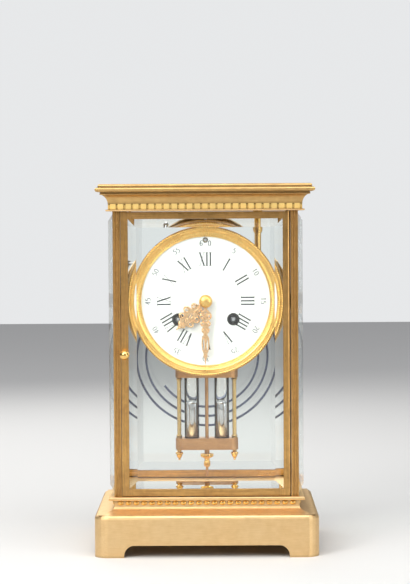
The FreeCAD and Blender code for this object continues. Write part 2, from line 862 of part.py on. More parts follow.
def make_catch():
    """The front door's turning catch: a ball knob on a shaft, and the tongue behind the stile."""
    place = (-catch_x(), catch_height - dial_height)
    tongue_front = -(half_depth - post_depth) + catch_clearance
    tongue_back = tongue_front + catch_thickness
    ball_middle = -door_front - knob_reach
    steps = [(0, ball_middle - knob_radius)]
    for turn in (30, 60, 90, 120, 150):
        slope = math.radians(turn)
        steps.append((knob_radius * math.sin(slope), ball_middle - knob_radius * math.cos(slope)))
    steps += [(knob_neck_radius, -door_front - fit_gap), (0, -door_front - fit_gap)]
    knob = turned(steps, round_sides, place)
    shaft = pin_arbor(catch_shaft_radius, -door_front - 1, tongue_back, place)
    half = catch_width / 2
    tongue = dial_plane_solid([[
        (place[0] - half, place[1] - catch_length), (place[0] - half, place[1] + half * 0.4),
        (place[0] - half * 0.4, place[1] + half), (place[0] + half * 0.4, place[1] + half),
        (place[0] + half, place[1] + half * 0.4), (place[0] + half, place[1] - catch_length),
    ]], tongue_front, tongue_back)
    return fused([knob, shaft, tongue])


def make_doors():
    frame, pane, pins = make_door()
    pieces = {"door_frame": frame, "door_glass": pane, "door_catch": make_catch()}
    for name, piece in pieces.items():
        save("front_" + name, [piece])
        save("rear_" + name, [half_turned(piece)])
    save("hinge_pins", pins + [half_turned(pin) for pin in pins])


def make_cornice():
    """The hollow top: a cove, a thin bead, a round nose and a rounded upper step."""
    low = band_bottom + cornice_band_height
    top = band_bottom + cornice_height
    inner = cornice_band_overhang - 2 * dentil_depth - 1
    cove_end_z = band_bottom + cornice_cove_top
    bead_top = cove_end_z + 2 * cornice_bead_radius
    nose_bottom = bead_top + cornice_fillet
    nose_top = nose_bottom + 2 * cornice_torus_radius
    nose = cornice_torus_overhang - cornice_torus_radius
    lobe_start = top - cornice_lobe_radius
    lobe_in = cornice_lobe_overhang - cornice_lobe_radius
    bulge = cornice_lobe_radius * math.sin(math.radians(45))
    wall = cornice_cove_overhang - cornice_wall
    p = moulding_point
    start = p(cornice_band_overhang, low)
    cove_out = p(cornice_cove_overhang, cove_end_z)
    bead_out = p(cornice_cove_overhang + cornice_bead_radius, cove_end_z + cornice_bead_radius)
    bead_end = p(cornice_cove_overhang, bead_top)
    nose_out = p(cornice_torus_overhang, nose_bottom + cornice_torus_radius)
    lobe_low = p(cornice_lobe_overhang, lobe_start)
    corners = [
        p(lobe_in, top), p(wall, top), p(wall, cove_end_z), p(inner, cove_end_z - cornice_wall),
        p(inner, low), start]
    section = cove(start, cove_out, FreeCAD.Vector(cove_out.x, 0, start.z)) + [
        arc(cove_out, bead_out, bead_end),
        line(bead_end, p(cornice_cove_overhang, nose_bottom)),
        line(p(cornice_cove_overhang, nose_bottom), p(nose, nose_bottom)),
        arc(p(nose, nose_bottom), nose_out, p(nose, nose_top)),
        line(p(nose, nose_top), p(cornice_lobe_overhang, nose_top)),
        line(p(cornice_lobe_overhang, nose_top), lobe_low),
        arc(lobe_low, p(lobe_in + bulge, lobe_start + bulge), p(lobe_in, top)),
    ]
    section += [line(near, far) for near, far in zip(corners, corners[1:])]
    ring = swept_moulding(section)
    lid_bottom = top - cornice_top_thickness
    lid = centred_box(half_width + wall + 1, half_depth + wall + 1, lid_bottom, top)
    bosses = [
        box((x - boss_half, y - boss_half, band_bottom), (x + boss_half, y + boss_half, lid_bottom + 1))
        for x, y in case_screw_places()]
    cornice = fused([ring, lid] + bosses)
    for x, y in case_screw_places():
        cornice = cornice.cut(pin_upright(
            hole_radius(screw_radius, fit_gap), band_bottom - 1, band_bottom + screw_grip + 0.5, x, y))
    save("cornice", [cornice])


def case_screws():
    """Long screws up through the plinth, and studs from the posts up into the cornice."""
    screws = []
    for x, y in case_screw_places():
        screws.append(fused([
            pin_upright(screw_head_radius, ledge_height - screw_head_height, ledge_height, x, y),
            pin_upright(screw_radius, ledge_height - 1, floor_top + screw_grip, x, y)]))
        screws.append(pin_upright(screw_radius, ceiling_bottom - screw_grip, band_bottom + screw_grip, x, y))
    return screws


def pinion_outline(centre, leaves, module, towards):
    """The straight-sided outline of a pinion, with a gap facing an angle."""
    radius = leaves * module / 2
    step = 360 / leaves
    outline = []
    for number in range(leaves):
        middle = towards + (number + 0.5) * step
        outline.append(polar(centre, radius - leaf_root * module, middle - leaf_spread * step))
        outline.append(polar(centre, radius + leaf_tip * module, middle))
        outline.append(polar(centre, radius - leaf_root * module, middle + leaf_spread * step))
    return outline


def wheel_outline(centre, teeth, module, towards):
    """The outline of a wheel with pointed teeth, one of them facing an angle."""
    radius = teeth * module / 2
    step = 360 / teeth
    outline = []
    for number in range(teeth):
        middle = towards + number * step
        outline.append(polar(centre, radius + tooth_tip * module, middle))
        outline.append(polar(centre, radius - tooth_root * module, middle + step / 2))
    return outline


def crossings(centre, hub, rim, arm_width, arms):
    """The outlines of the openings between a wheel's arms."""
    windows = []
    for number in range(arms):
        window = []
        start = number * 360 / arms
        end = start + 360 / arms
        inner = math.degrees(math.asin(arm_width / 2 / hub))
        outer = math.degrees(math.asin(arm_width / 2 / rim))
        for step in range(3):
            share = step / 2
            window.append(polar(centre, rim, start + outer + share * (end - start - 2 * outer)))
        window.append(polar(centre, hub, end - inner))
        window.append(polar(centre, hub, start + inner))
        windows.append(window)
    return windows


def crossed_wheel(centre, teeth, module, towards, y0, hub=wheel_hub_radius, arms=4):
    """A thin wheel with pointed teeth and open arms."""
    rim = teeth * module / 2 - tooth_root * module - wheel_rim_width
    outlines = [wheel_outline(centre, teeth, module, towards)]
    outlines += crossings(centre, hub, rim, wheel_arm_width, arms)
    return dial_plane_solid(outlines, y0, y0 + wheel_thickness)


def pinion(centre, leaves, module, towards, y0, y1):
    """A short pinion with a gap facing an angle."""
    return dial_plane_solid([pinion_outline(centre, leaves, module, towards)], y0, y1)


def mesh_distance(teeth, leaves, module):
    """How far apart the arbors of a meshing wheel and pinion stand."""
    return (teeth + leaves) * module / 2


# Arbor places, from the dial's centre
centre_place = (0.0, 0.0)
going_barrel_place = (barrel_x, -barrel_drop)
strike_barrel_place = (-barrel_x, -barrel_drop)
barrel_mesh = mesh_distance(barrel_teeth, second_pinion_leaves, barrel_module)
second_place = meeting_point(
    going_barrel_place, barrel_mesh,
    centre_place, mesh_distance(second_teeth, centre_pinion_leaves, second_module), -1)
anchor_place = (0.0, anchor_height)
pallet_angle = pallet_span_teeth * 360 / escape_teeth / 2
escape_place = (0.0, anchor_height - escape_tip_radius / math.cos(math.radians(pallet_angle)))
third_place = meeting_point(
    centre_place, mesh_distance(centre_teeth, third_pinion_leaves, centre_module),
    escape_place, mesh_distance(third_teeth, escape_pinion_leaves, third_module), 1)
strike_second_place = polar(strike_barrel_place, barrel_mesh, strike_second_bearing)
pin_place = polar(
    strike_second_place, mesh_distance(second_teeth, pin_pinion_leaves, strike_second_module), pin_bearing)
fly_place = polar(pin_place, mesh_distance(pin_teeth, fly_pinion_leaves, pin_module), fly_bearing)
minute_wheel_place = (0.0, -mesh_distance(minute_teeth, cannon_leaves, motion_module))
hammer_place = (hammer_x, hammer_z)
regulator_place = (0.0, regulator_height)

# Planes of the wheels, from front to back
barrel_rim_front = front_plate_back + barrel_end_gap + barrel_length
second_plane = back_plate_front - second_wheel_gap
centre_plane = back_plate_front - centre_wheel_gap
third_plane = front_plate_back + third_wheel_gap
escape_plane = front_plate_back + escape_wheel_gap
pin_plane = front_plate_back + pin_wheel_gap
minute_plane = front_plate_face - minute_wheel_gap
hour_plane = front_plate_face - hour_wheel_gap
ratchet_plane = front_plate_face - ratchet_gap


def plate_holes():
    """The pivot holes that both movement plates share: (place, bar radius) pairs."""
    holes = [(place, arbor_radius) for place in (
        second_place, anchor_place, strike_second_place, pin_place, hammer_place)]
    holes += [(place, fine_arbor_radius) for place in (third_place, escape_place, fly_place)]
    holes += [(place, heavy_arbor_radius) for place in (going_barrel_place, strike_barrel_place)]
    holes.append((centre_place, arbor_radius))
    holes.append((regulator_place, regulator_radius))
    holes += [(polar(centre_place, pillar_circle, angle), small_screw_radius) for angle in pillar_angles]
    return holes


def movement_plate(y0):
    """A round plate with a lug at the top for the regulating arbor."""
    half = math.degrees(math.asin(plate_lug_width / 2 / plate_radius))
    edge = [polar(centre_place, plate_radius, half + step * (360 - 2 * half) / plate_sides)
            for step in range(plate_sides + 1)]
    lug_top = regulator_height + plate_lug_reach
    lug = [(-plate_lug_width / 2, lug_top), (plate_lug_width / 2, lug_top)]
    holes = []
    for place, radius in plate_holes():
        holes.append(ring_outline(place, hole_radius(radius, running_fit), small_sides))
    return dial_plane_solid([edge + lug] + holes, y0, y0 + plate_thickness)


def ring_outline(centre, radius, sides):
    """A regular polygon about a place in the dial's plane."""
    return [polar(centre, radius, (number + 0.5) * 360 / sides) for number in range(sides)]


def bracket_screw_places():
    """Where the brackets' screws pass the front plate."""
    reach = plate_radius - bracket_reach / 2
    return [(reach, 0.0), (-reach, 0.0)]


def make_movement_frame():
    """Two plates held apart by pillars, hung from rails between the posts by brackets."""
    front = movement_plate(front_plate_face)
    hole = hole_radius(small_screw_radius, fit_gap)
    for place in bracket_screw_places():
        front = front.cut(pin_arbor(hole, front_plate_face - 1, front_plate_back + 1, place))
    stud = pin_arbor(arbor_radius, minute_plane - 2.4, front_plate_face + 1, minute_wheel_place)
    save("front_plate", [fused([front, stud])])
    save("back_plate", [movement_plate(back_plate_front)])
    pillars = []
    for angle in pillar_angles:
        place = polar(centre_place, pillar_circle, angle)
        pillars.append(fused([
            pin_arbor(pillar_radius, front_plate_back, back_plate_front, place),
            pin_arbor(small_screw_radius, front_plate_face - 1, back_plate_back + 0.5, place),
            pin_arbor(pillar_nut_radius, front_plate_face - pillar_nut_height, front_plate_face, place)]))
    save("plate_pillars", pillars)
    make_rails()


def make_rails():
    """The rails between the posts, the brackets on them, and all the screws of the clock."""
    screws = []
    half = rail_height / 2
    outer = half_width - post_width
    rail_end = half_depth - post_depth + rail_overlap
    hole = hole_radius(small_screw_radius, fit_gap)
    plate_edge = plate_radius - bracket_reach
    flange_inner = rail_inner - bracket_thickness
    joint_y = front_plate_back + bracket_flange - bracket_screw_inset
    rail = box((rail_inner, -rail_end, dial_height - half), (outer, rail_end, dial_height + half))
    head_inner = rail_inner - small_screw_head_height
    for y in (rail_screw_y(), -rail_screw_y()):
        rail = rail.cut(pin_crossbar(hole, rail_inner - 1, outer + 1, y, dial_height))
        screws.append(fused([
            pin_crossbar(small_screw_head_radius, head_inner, rail_inner, y, dial_height),
            pin_crossbar(small_screw_radius, rail_inner - 1, outer + small_screw_grip, y, dial_height)]))
    rail = rail.cut(pin_crossbar(hole, rail_inner - 1, outer + 1, joint_y, dial_height))
    head_inner = flange_inner - small_screw_head_height
    screws.append(fused([
        pin_crossbar(small_screw_head_radius, head_inner, flange_inner, joint_y, dial_height),
        pin_crossbar(small_screw_radius, flange_inner - 1, outer, joint_y, dial_height)]))
    bracket = fused([
        box((plate_edge, front_plate_back, dial_height - half),
            (rail_inner, front_plate_back + bracket_thickness, dial_height + half)),
        box((flange_inner, front_plate_back, dial_height - half),
            (rail_inner, front_plate_back + bracket_flange, dial_height + half))])
    place = bracket_screw_places()[0]
    bracket_back = front_plate_back + bracket_thickness
    bracket = bracket.cut(pin_arbor(hole, front_plate_back - 1, bracket_back + 1, place))
    bracket = bracket.cut(pin_crossbar(hole, flange_inner - 1, rail_inner + 1, joint_y, dial_height))
    plate_screw = fused([
        pin_arbor(
            small_screw_head_radius, front_plate_face - small_screw_head_height, front_plate_face, place),
        pin_arbor(small_screw_radius, front_plate_face - 1, bracket_back, place)])
    screws.append(plate_screw)
    save("movement_rails", [rail, mirrored_x(rail)])
    save("movement_brackets", [bracket, mirrored_x(bracket)])
    save("screws", case_screws() + screws + [mirrored_x(screw) for screw in screws])


def make_dial():
    """The dial, its gilt bezel, and the pan with riveted feet that carries both."""
    collars = []
    holes = [ring_outline(regulator_place, regulator_hole_radius, small_sides)]
    for place in (going_barrel_place, strike_barrel_place):
        holes.append(ring_outline(place, winding_hole_radius, round_sides))
        collars.append(dial_plane_solid([
            ring_outline(place, winding_hole_radius - fit_gap, round_sides),
            ring_outline(place, winding_collar_bore, round_sides),
        ], dial_face - winding_collar_proud, dial_back))
    dial = dial_plane_solid([ring_outline(centre_place, dial_radius, bezel_sides)], dial_face, dial_back)
    centre_hole = ring_outline(centre_place, dial_centre_hole, round_sides)
    cutters = [dial_plane_solid([hole], dial_face - 1, dial_back + 1) for hole in holes + [centre_hole]]
    save("dial", [dial.cut(cutters)])
    save("winding_hole_collars", collars)
    front = dial_face - bezel_depth
    inner = dial_sight_radius
    rebate = dial_radius + fit_gap
    save("bezel", [turned([
        (inner, dial_face - fit_gap), (inner, dial_face - bezel_lip), (inner + bezel_slope_width, front),
        (bezel_outer_radius - bezel_edge_bevel, front), (bezel_outer_radius, front + bezel_edge_bevel),
        (bezel_outer_radius, dial_back), (rebate, dial_back), (rebate, dial_face - fit_gap),
    ], bezel_sides)])
    pan = dial_plane_solid([
        ring_outline(centre_place, bezel_outer_radius - 1, plate_sides),
        ring_outline(centre_place, pan_inner_radius, 24),
        ring_outline(regulator_place, hole_radius(regulator_radius, running_fit), small_sides),
    ], dial_back, pan_back)
    feet = [
        pin_arbor(dial_foot_radius, dial_back, front_plate_face, polar(centre_place, pillar_circle, angle))
        for angle in dial_foot_angles]
    save("dial_pan", [fused([pan] + feet)])


def hand(length, angle, hub, profile, windows, y0, bore):
    """One pierced hand. Its profile and windows give half widths at distances from the hub, as shares."""
    y1 = y0 + hand_thickness

    def place(along, side):
        return polar(polar(centre_place, along * length, angle), side, angle + 90)

    def closed(points):
        return [place(along, wide) for along, wide in points] + [
            place(along, -wide) for along, wide in reversed(points) if wide]

    shape = fused([dial_plane_solid([closed(profile)], y0, y1), pin_arbor(hub, y0, y1)])
    cuts = [bore]
    for start, middle, end, half in windows:
        for side in (-1, 1):
            rib = side * hand_rib / 2
            cuts.append(dial_plane_solid([[
                place(start, rib), place(middle, side * half), place(end, rib)]], y0 - 1, y1 + 1))
    return shape.cut(cuts)


def make_hands():
    """The hour and minute hands, one above the other, and the domed nut that holds them."""
    hour_back = dial_face - hour_hand_offset
    minute_back = dial_face - minute_hand_offset
    hour_bore = pin_arbor(
        hole_radius(hour_pipe_radius, fit_gap), hour_back - hand_thickness - 1, hour_back + 1)
    save("hour_hand", [hand(
        hour_hand_length, hour_hand_angle, hour_hub_radius, hour_profile, hour_windows,
        hour_back - hand_thickness, hour_bore)])
    minute_bore = pin_arbor(
        hole_radius(cannon_radius, fit_gap), minute_back - hand_thickness - 1, minute_back + 1)
    save("minute_hand", [hand(
        minute_hand_length, minute_hand_angle, minute_hub_radius, minute_profile, minute_windows,
        minute_back - hand_thickness, minute_bore)])
    back = minute_back - hand_thickness - fit_gap
    bore = arbor_radius + fit_gap
    bore_end = nut_front + hand_nut_wall
    save("hand_nut", [turned([
        (0.0, nut_front), (hand_nut_radius * 0.55, nut_front + 0.14 * hand_nut_height),
        (hand_nut_radius * 0.85, nut_front + 0.4 * hand_nut_height),
        (hand_nut_radius, nut_front + 0.84 * hand_nut_height), (hand_nut_radius, back),
        (bore, back), (bore, bore_end), (0.0, bore_end),
    ])])


def make_motion_work():
    """The wheels behind the dial that drive the hour hand from the minute arbor."""
    to_minute = bearing(centre_place, minute_wheel_place)
    bore = hole_radius(arbor_radius, fit_gap)
    cannon_front = dial_face - minute_hand_offset - hand_thickness
    cannon_back = minute_plane + wheel_thickness + pinion_overlap
    cannon = fused([
        pinion(centre_place, cannon_leaves, motion_module, to_minute, minute_plane - 0.2, cannon_back),
        pin_arbor(cannon_radius, cannon_front, cannon_back)])
    save("cannon_pinion", [cannon.cut(pin_arbor(bore, cannon_front - 1, cannon_back + 1))])
    running = hole_radius(arbor_radius, running_fit)
    to_centre = to_minute + 180
    wheel = crossed_wheel(minute_wheel_place, minute_teeth, motion_module, to_centre, minute_plane, 2.8)
    leaves = pinion(
        minute_wheel_place, minute_pinion_leaves, hour_module, to_centre, hour_plane - 0.1, minute_plane)
    save("minute_wheel", [fused([wheel, leaves]).cut(pin_arbor(
        running, hour_plane - 1, minute_plane + 3, minute_wheel_place))])
    hour = crossed_wheel(centre_place, hour_teeth, hour_module, to_minute, hour_plane, 3.4)
    pipe_front = dial_face - hour_hand_offset - hand_thickness
    pipe = pin_arbor(hour_pipe_radius, pipe_front, hour_plane + wheel_thickness)
    pipe_bore = pin_arbor(hole_radius(cannon_radius, running_fit), pipe_front - 1, hour_plane + 3)
    save("hour_wheel", [fused([hour, pipe]).cut(pipe_bore)])


def make_barrel(name, place, second):
    """A spring barrel with its toothed rim, and its winding arbor with the ratchet wheel."""
    drum_front = front_plate_back + barrel_end_gap
    drum_radius = barrel_teeth * barrel_module / 2 - (tooth_root + 0.05) * barrel_module
    rim_back = barrel_rim_front + barrel_rim_thickness
    bore = ring_outline(place, hole_radius(heavy_arbor_radius, running_fit), small_sides)
    rim = dial_plane_solid([
        wheel_outline(place, barrel_teeth, barrel_module, bearing(place, second)), bore,
    ], barrel_rim_front, rim_back)
    drum = dial_plane_solid([ring_outline(place, drum_radius, 24), bore], drum_front, barrel_rim_front)
    save(name + "_barrel", [fused([drum, rim])])
    shaft = pin_arbor(heavy_arbor_radius, ratchet_plane, back_plate_back, place)
    half = winding_square / 2
    square = box(
        (place[0] - half, dial_face + 0.4, dial_height + place[1] - half),
        (place[0] + half, front_plate_face, dial_height + place[1] + half))
    step = 360 / ratchet_teeth
    outline = []
    for number in range(ratchet_teeth):
        outline.append(polar(place, ratchet_radius, number * step))
        outline.append(polar(place, ratchet_radius - ratchet_tooth_depth, number * step + 1))
    ratchet = dial_plane_solid([outline], ratchet_plane, ratchet_plane + wheel_thickness)
    save(name + "_winding_arbor", [fused([shaft, square, ratchet])])


def make_clicks():
    """The spring-loaded clicks that stop the ratchet wheels running back."""
    for name, place, side in (("going", going_barrel_place, 1), ("strike", strike_barrel_place, -1)):
        pivot = polar(place, ratchet_radius + click_pivot_gap, side * click_pivot_angle)
        tip = polar(place, ratchet_radius + click_tip_gap, side * click_tip_angle)
        heel = polar(place, ratchet_radius + click_boss_radius, side * (click_tip_angle + 8))
        outer = polar(pivot, click_boss_radius, side * 60)
        inner = polar(pivot, click_boss_radius, side * 240)
        beak = dial_plane_solid([[tip, heel, outer, inner]], ratchet_plane, ratchet_plane + wheel_thickness)
        boss = pin_arbor(click_boss_radius, ratchet_plane, front_plate_face, pivot)
        save(name + "_click", [fused([beak, boss])])


def train_arbor(place, radius=arbor_radius):
    """A pivoted arbor that spans both movement plates."""
    return pin_arbor(radius, front_plate_face + pivot_end_gap, back_plate_back - pivot_end_gap, place)


def make_going_train():
    """The wheels from the going barrel to the escapement."""
    make_barrel("going", going_barrel_place, second_place)
    to_barrel = bearing(second_place, going_barrel_place)
    to_centre = bearing(second_place, centre_place)
    save("going_second_wheel", [fused([
        train_arbor(second_place),
        pinion(second_place, second_pinion_leaves, barrel_module, to_barrel,
               barrel_rim_front - pinion_overlap, barrel_rim_front + barrel_rim_thickness + pinion_overlap),
        crossed_wheel(second_place, second_teeth, second_module, to_centre, second_plane)])])
    to_third = bearing(centre_place, third_place)
    centre_front = nut_front + hand_nut_wall + 0.2
    save("centre_wheel", [fused([
        pin_arbor(arbor_radius, centre_front, back_plate_back - pivot_end_gap),
        pinion(centre_place, centre_pinion_leaves, second_module, to_centre + 180,
               second_plane - pinion_overlap, second_plane + wheel_thickness + pinion_overlap),
        crossed_wheel(centre_place, centre_teeth, centre_module, to_third, centre_plane)])])
    to_escape = bearing(third_place, escape_place)
    save("third_wheel", [fused([
        train_arbor(third_place, fine_arbor_radius),
        pinion(third_place, third_pinion_leaves, centre_module, to_third + 180,
               centre_plane - pinion_overlap, centre_plane + wheel_thickness + pinion_overlap),
        crossed_wheel(third_place, third_teeth, third_module, to_escape, third_plane)])])
    step = 360 / escape_teeth
    outline = []
    for number in range(escape_teeth):
        middle = number * step
        outline.append(polar(escape_place, escape_tip_radius, middle))
        outline.append(polar(escape_place, escape_tip_radius - escape_tooth_depth, middle + 0.3 * step))
    openings = crossings(escape_place, 2.0, escape_tip_radius - escape_tooth_depth - 1.2, 0.9, 4)
    save("escape_wheel", [fused([
        train_arbor(escape_place, fine_arbor_radius),
        pinion(escape_place, escape_pinion_leaves, third_module, to_escape + 180,
               third_plane - pinion_overlap, third_plane + wheel_thickness + pinion_overlap),
        dial_plane_solid([outline] + openings, escape_plane, escape_plane + wheel_thickness)])])
    make_anchor()


def pallet_outline(side):
    """One arm of the anchor: from its hub out to the pallet that just clears the escape wheel."""
    angle = side * pallet_angle
    tip = polar(escape_place, escape_tip_radius + pallet_clearance, angle)
    shoulder = polar(tip, pallet_length, angle)
    elbow = polar(tip, pallet_length + 1, angle)
    out = angle + 90 * side
    back = angle - 90 * side
    return [
        polar(tip, pallet_tip_half, back), polar(tip, pallet_tip_half, out),
        polar(shoulder, pallet_half, out), polar(elbow, 0.7 * pallet_half, out),
        polar(anchor_place, pallet_root, side * 90), polar(anchor_place, pallet_root, side * 170),
        polar(shoulder, pallet_half, back),
    ]


def make_anchor():
    """The anchor over the escape wheel, and the crutch on its arbor that leads the pendulum."""
    front = escape_plane - 0.2
    back = front + anchor_thickness
    pieces = [pin_arbor(anchor_hub_radius, front, back, anchor_place)]
    pieces += [dial_plane_solid([pallet_outline(side)], front, back) for side in (-1, 1)]
    crutch_front = back_plate_back + crutch_gap
    crutch_hub_back = crutch_front + 2 * crutch_thickness
    pieces.append(pin_arbor(arbor_radius, front_plate_face + pivot_end_gap, crutch_hub_back, anchor_place))
    pieces.append(pin_arbor(crutch_hub_radius, crutch_front, crutch_hub_back, anchor_place))
    top = dial_height + anchor_height
    foot = top - crutch_length
    half = crutch_width / 2
    inside = rod_radius + fork_gap
    outside = inside + fork_thickness
    plate_back = crutch_front + crutch_thickness
    fork_back = pendulum_plane + rod_radius + crutch_thickness
    pieces.append(box((-half, crutch_front, foot), (half, plate_back, top)))
    pieces.append(box((-outside, crutch_front, foot - 1), (outside, plate_back, foot + crutch_width)))
    pieces.append(box((-outside, crutch_front, foot - 1), (-inside, fork_back, foot + crutch_width)))
    pieces.append(box((inside, crutch_front, foot - 1), (outside, fork_back, foot + crutch_width)))
    save("anchor", [fused(pieces)])


def locking_plate_outline():
    """The disc that counts the blows: twelve raised arcs, each longer than the one before."""
    blow_angle = 4.0
    notch_angle = 2.2
    outline = []
    start = 0.0
    for hour in range(1, 13):
        end = start + hour * blow_angle
        steps = 1 + hour // 3
        for step in range(steps + 1):
            angle = start + (end - start - notch_angle - 0.2) * step / steps
            outline.append(polar(strike_second_place, locking_plate_radius, angle))
        bottom = locking_plate_radius - locking_plate_notch
        outline.append(polar(strike_second_place, bottom, end - notch_angle))
        outline.append(polar(strike_second_place, bottom, end - 0.2))
        start = end
    return outline


def make_strike_train():
    """The wheels that time the strike, and the hammer that sounds the gong."""
    make_barrel("strike", strike_barrel_place, strike_second_place)
    to_barrel = bearing(strike_second_place, strike_barrel_place)
    to_pin = bearing(strike_second_place, pin_place)
    locking_front = back_plate_back + locking_plate_gap
    locking_back = locking_front + locking_plate_thickness
    second = [
        pin_arbor(arbor_radius, front_plate_face + pivot_end_gap, locking_back + 0.6, strike_second_place),
        pinion(strike_second_place, second_pinion_leaves, barrel_module, to_barrel,
               barrel_rim_front - pinion_overlap, barrel_rim_front + barrel_rim_thickness + pinion_overlap),
        crossed_wheel(strike_second_place, second_teeth, strike_second_module, to_pin, second_plane),
        dial_plane_solid([locking_plate_outline()], locking_front, locking_back)]
    save("strike_second_wheel", [fused(second)])
    to_fly = bearing(pin_place, fly_place)
    pins = []
    for number in range(lifting_pins):
        place = polar(pin_place, lifting_pin_circle, number * 360 / lifting_pins)
        pins.append(pin_arbor(lifting_pin_radius, pin_plane - lifting_pin_length, pin_plane + 0.5, place))
    save("strike_pin_wheel", [fused([
        train_arbor(pin_place),
        pinion(pin_place, pin_pinion_leaves, strike_second_module, to_pin + 180,
               second_plane - pinion_overlap, second_plane + wheel_thickness + pinion_overlap),
        crossed_wheel(pin_place, pin_teeth, pin_module, to_fly, pin_plane)] + pins)])
    fly_front = front_plate_back + fly_gap
    fly_low = dial_height + fly_place[1] - fly_thickness / 2
    save("strike_fly", [fused([
        train_arbor(fly_place, fine_arbor_radius),
        pinion(fly_place, fly_pinion_leaves, pin_module, to_fly + 180,
               pin_plane - pinion_overlap, pin_plane + wheel_thickness + pinion_overlap),
        box((fly_place[0] - fly_radius, fly_front, fly_low),
            (fly_place[0] + fly_radius, fly_front + fly_length, fly_low + fly_thickness))])])
    make_hammer()


def gong_centre():
    """The middle of the coil, from the dial's centre."""
    start = gong_start()
    return (
        start[0] - gong_radius * math.cos(math.radians(gong_angle)),
        start[1] - gong_radius * math.sin(math.radians(gong_angle)))


def gong_start():
    """Where the wire leaves its straight end and starts to curve, from the dial's centre."""
    reach = gong_flat + gong_wire_depth
    turn = math.radians(gong_angle)
    return (
        gong_x + reach * math.sin(turn),
        gong_block_height - dial_height - reach * math.cos(turn))


def make_hammer():
    """The hammer on its own arbor behind the back plate, resting just off the gong."""
    middle = gong_centre()
    angle = hammer_strike_angle
    face = polar(middle, gong_radius + gong_wire_width / 2 + hammer_gap, angle)
    back = polar(face, hammer_head_length, angle)
    direction = FreeCAD.Vector(back[0] - face[0], 0, back[1] - face[1])
    head = Part.makeCylinder(
        hammer_head_radius, hammer_head_length,
        FreeCAD.Vector(face[0], gong_plane, dial_height + face[1]), direction)
    head_middle = polar(face, hammer_head_length / 2, angle)
    arm_front = gong_plane - hammer_arm_thickness / 2
    arm_back = gong_plane + hammer_arm_thickness / 2
    lean = bearing(hammer_place, head_middle)
    half = hammer_arm_half
    arm = dial_plane_solid([[
        polar(hammer_place, half, lean - 90), polar(hammer_place, half, lean + 90),
        polar(head_middle, 0.8 * half, lean + 90), polar(head_middle, 0.8 * half, lean - 90),
    ]], arm_front, arm_back)
    tail_end = (hammer_x + hammer_tail_length, hammer_z - half)
    tail_back = pin_plane - pinion_overlap
    tail = dial_plane_solid([[
        (hammer_x, hammer_z + half), tail_end, (hammer_x, hammer_z - half),
    ]], tail_back - 1, tail_back)
    shaft = pin_arbor(arbor_radius, front_plate_face + pivot_end_gap, arm_back + 1, hammer_place)
    hub = pin_arbor(hammer_hub_radius, arm_front - 0.6, arm_back + 1, hammer_place)
    save("hammer", [fused([head, arm, tail, shaft, hub])])


def make_suspension():
    """The cock on the back plate, the thin spring that carries the pendulum, and the regulating arbor."""
    spring_front = pendulum_plane - spring_width / 2
    spring_back = pendulum_plane + spring_width / 2
    bar_back = spring_back + 1
    anchor_z = dial_height + anchor_height
    bar_bottom = anchor_z + cock_gap
    bar_top = bar_bottom + cock_thickness
    inner = cock_half_width - cock_leg_width
    legs = [
        box((-cock_half_width, back_plate_back, anchor_z - cock_leg_drop), (-inner, bar_back, bar_top)),
        box((inner, back_plate_back, anchor_z - cock_leg_drop), (cock_half_width, bar_back, bar_top))]
    bar_front = back_plate_back + cock_rise
    bar = box((-cock_half_width, bar_front, bar_bottom), (cock_half_width, bar_back, bar_top))
    save("suspension_cock", [fused(legs + [bar])])
    half = spring_thickness / 2
    chop = box(
        (-chop_width / 2, spring_front - 0.5, bar_bottom - chop_height),
        (chop_width / 2, spring_back + 0.5, bar_bottom))
    strip = box(
        (-half, spring_front, anchor_z - spring_reach), (half, spring_back, bar_bottom - chop_height + 0.1))
    save("suspension_spring", [fused([chop, strip])])
    regulator_z = dial_height + regulator_height
    half = regulator_square / 2
    save("regulator_arbor", [fused([
        pin_arbor(regulator_radius, pan_back - 2, back_plate_back + 1, regulator_place),
        box((-half, dial_face + pivot_end_gap, regulator_z - half), (half, pan_back, regulator_z + half))])])


def obround(width, depth, z0, z1):
    """A flat bar along X with round ends, in the pendulum's plane."""
    radius = depth / 2
    reach = width / 2 - radius
    ends = []
    for start, x in ((0, reach), (180, -reach)):
        for step in range(round_sides + 1):
            u, v = polar((x, pendulum_plane), radius, start + step * 180 / round_sides)
            ends.append((u, v))
    rings = [[FreeCAD.Vector(u, v, z) for u, v in ends] for z in (z0, z1)]
    return stacked_rings(rings, False)


def make_tray(z0, z1, well_top):
    """A tray of the pendulum, with a rim line, holes for the rods and wells for the jars."""
    y = pendulum_plane
    tray = obround(tray_width, tray_depth, z0, z1)
    cuts = [bar_upright(rod_radius + fit_gap, z0 - 1, z1 + 1, 0, y)]
    for side in (-1, 1):
        rod_x = side * side_rod_spacing / 2
        cuts.append(bar_upright(side_rod_radius + fit_gap, z0 - 1, z1 + 1, rod_x, y))
        jar_x = side * jar_spacing / 2
        low, high = (z1 - tray_recess, z1 + 1) if well_top else (z0 - 1, z0 + tray_recess)
        cuts.append(bar_upright(jar_radius + fit_gap, low, high, jar_x, y))
    return tray.cut(cuts)


def make_pendulum():
    """The rod, two trays, two jars of mercury, side rods, finials and the rating nut."""
    tray_top = tray_bottom + tray_height
    upper_top = upper_tray_bottom + upper_tray_height
    nut_top = tray_bottom - neck_length
    make_pendulum_rod(dial_height + anchor_height, nut_top)
    neck = bar_upright(neck_radius, nut_top, tray_bottom + 0.5, 0, pendulum_plane)
    neck = neck.cut(bar_upright(rod_radius + fit_gap, nut_top - 1, tray_bottom + 1, 0, pendulum_plane))
    save("pendulum_lower_tray", [fused([make_tray(tray_bottom, tray_top, True), neck])])
    save("pendulum_upper_tray", [make_tray(upper_tray_bottom, upper_top, False)])
    make_side_rods(tray_top, upper_top)
    make_jars(tray_top - tray_recess, upper_tray_bottom + tray_recess)
    make_rating_nut(nut_top)


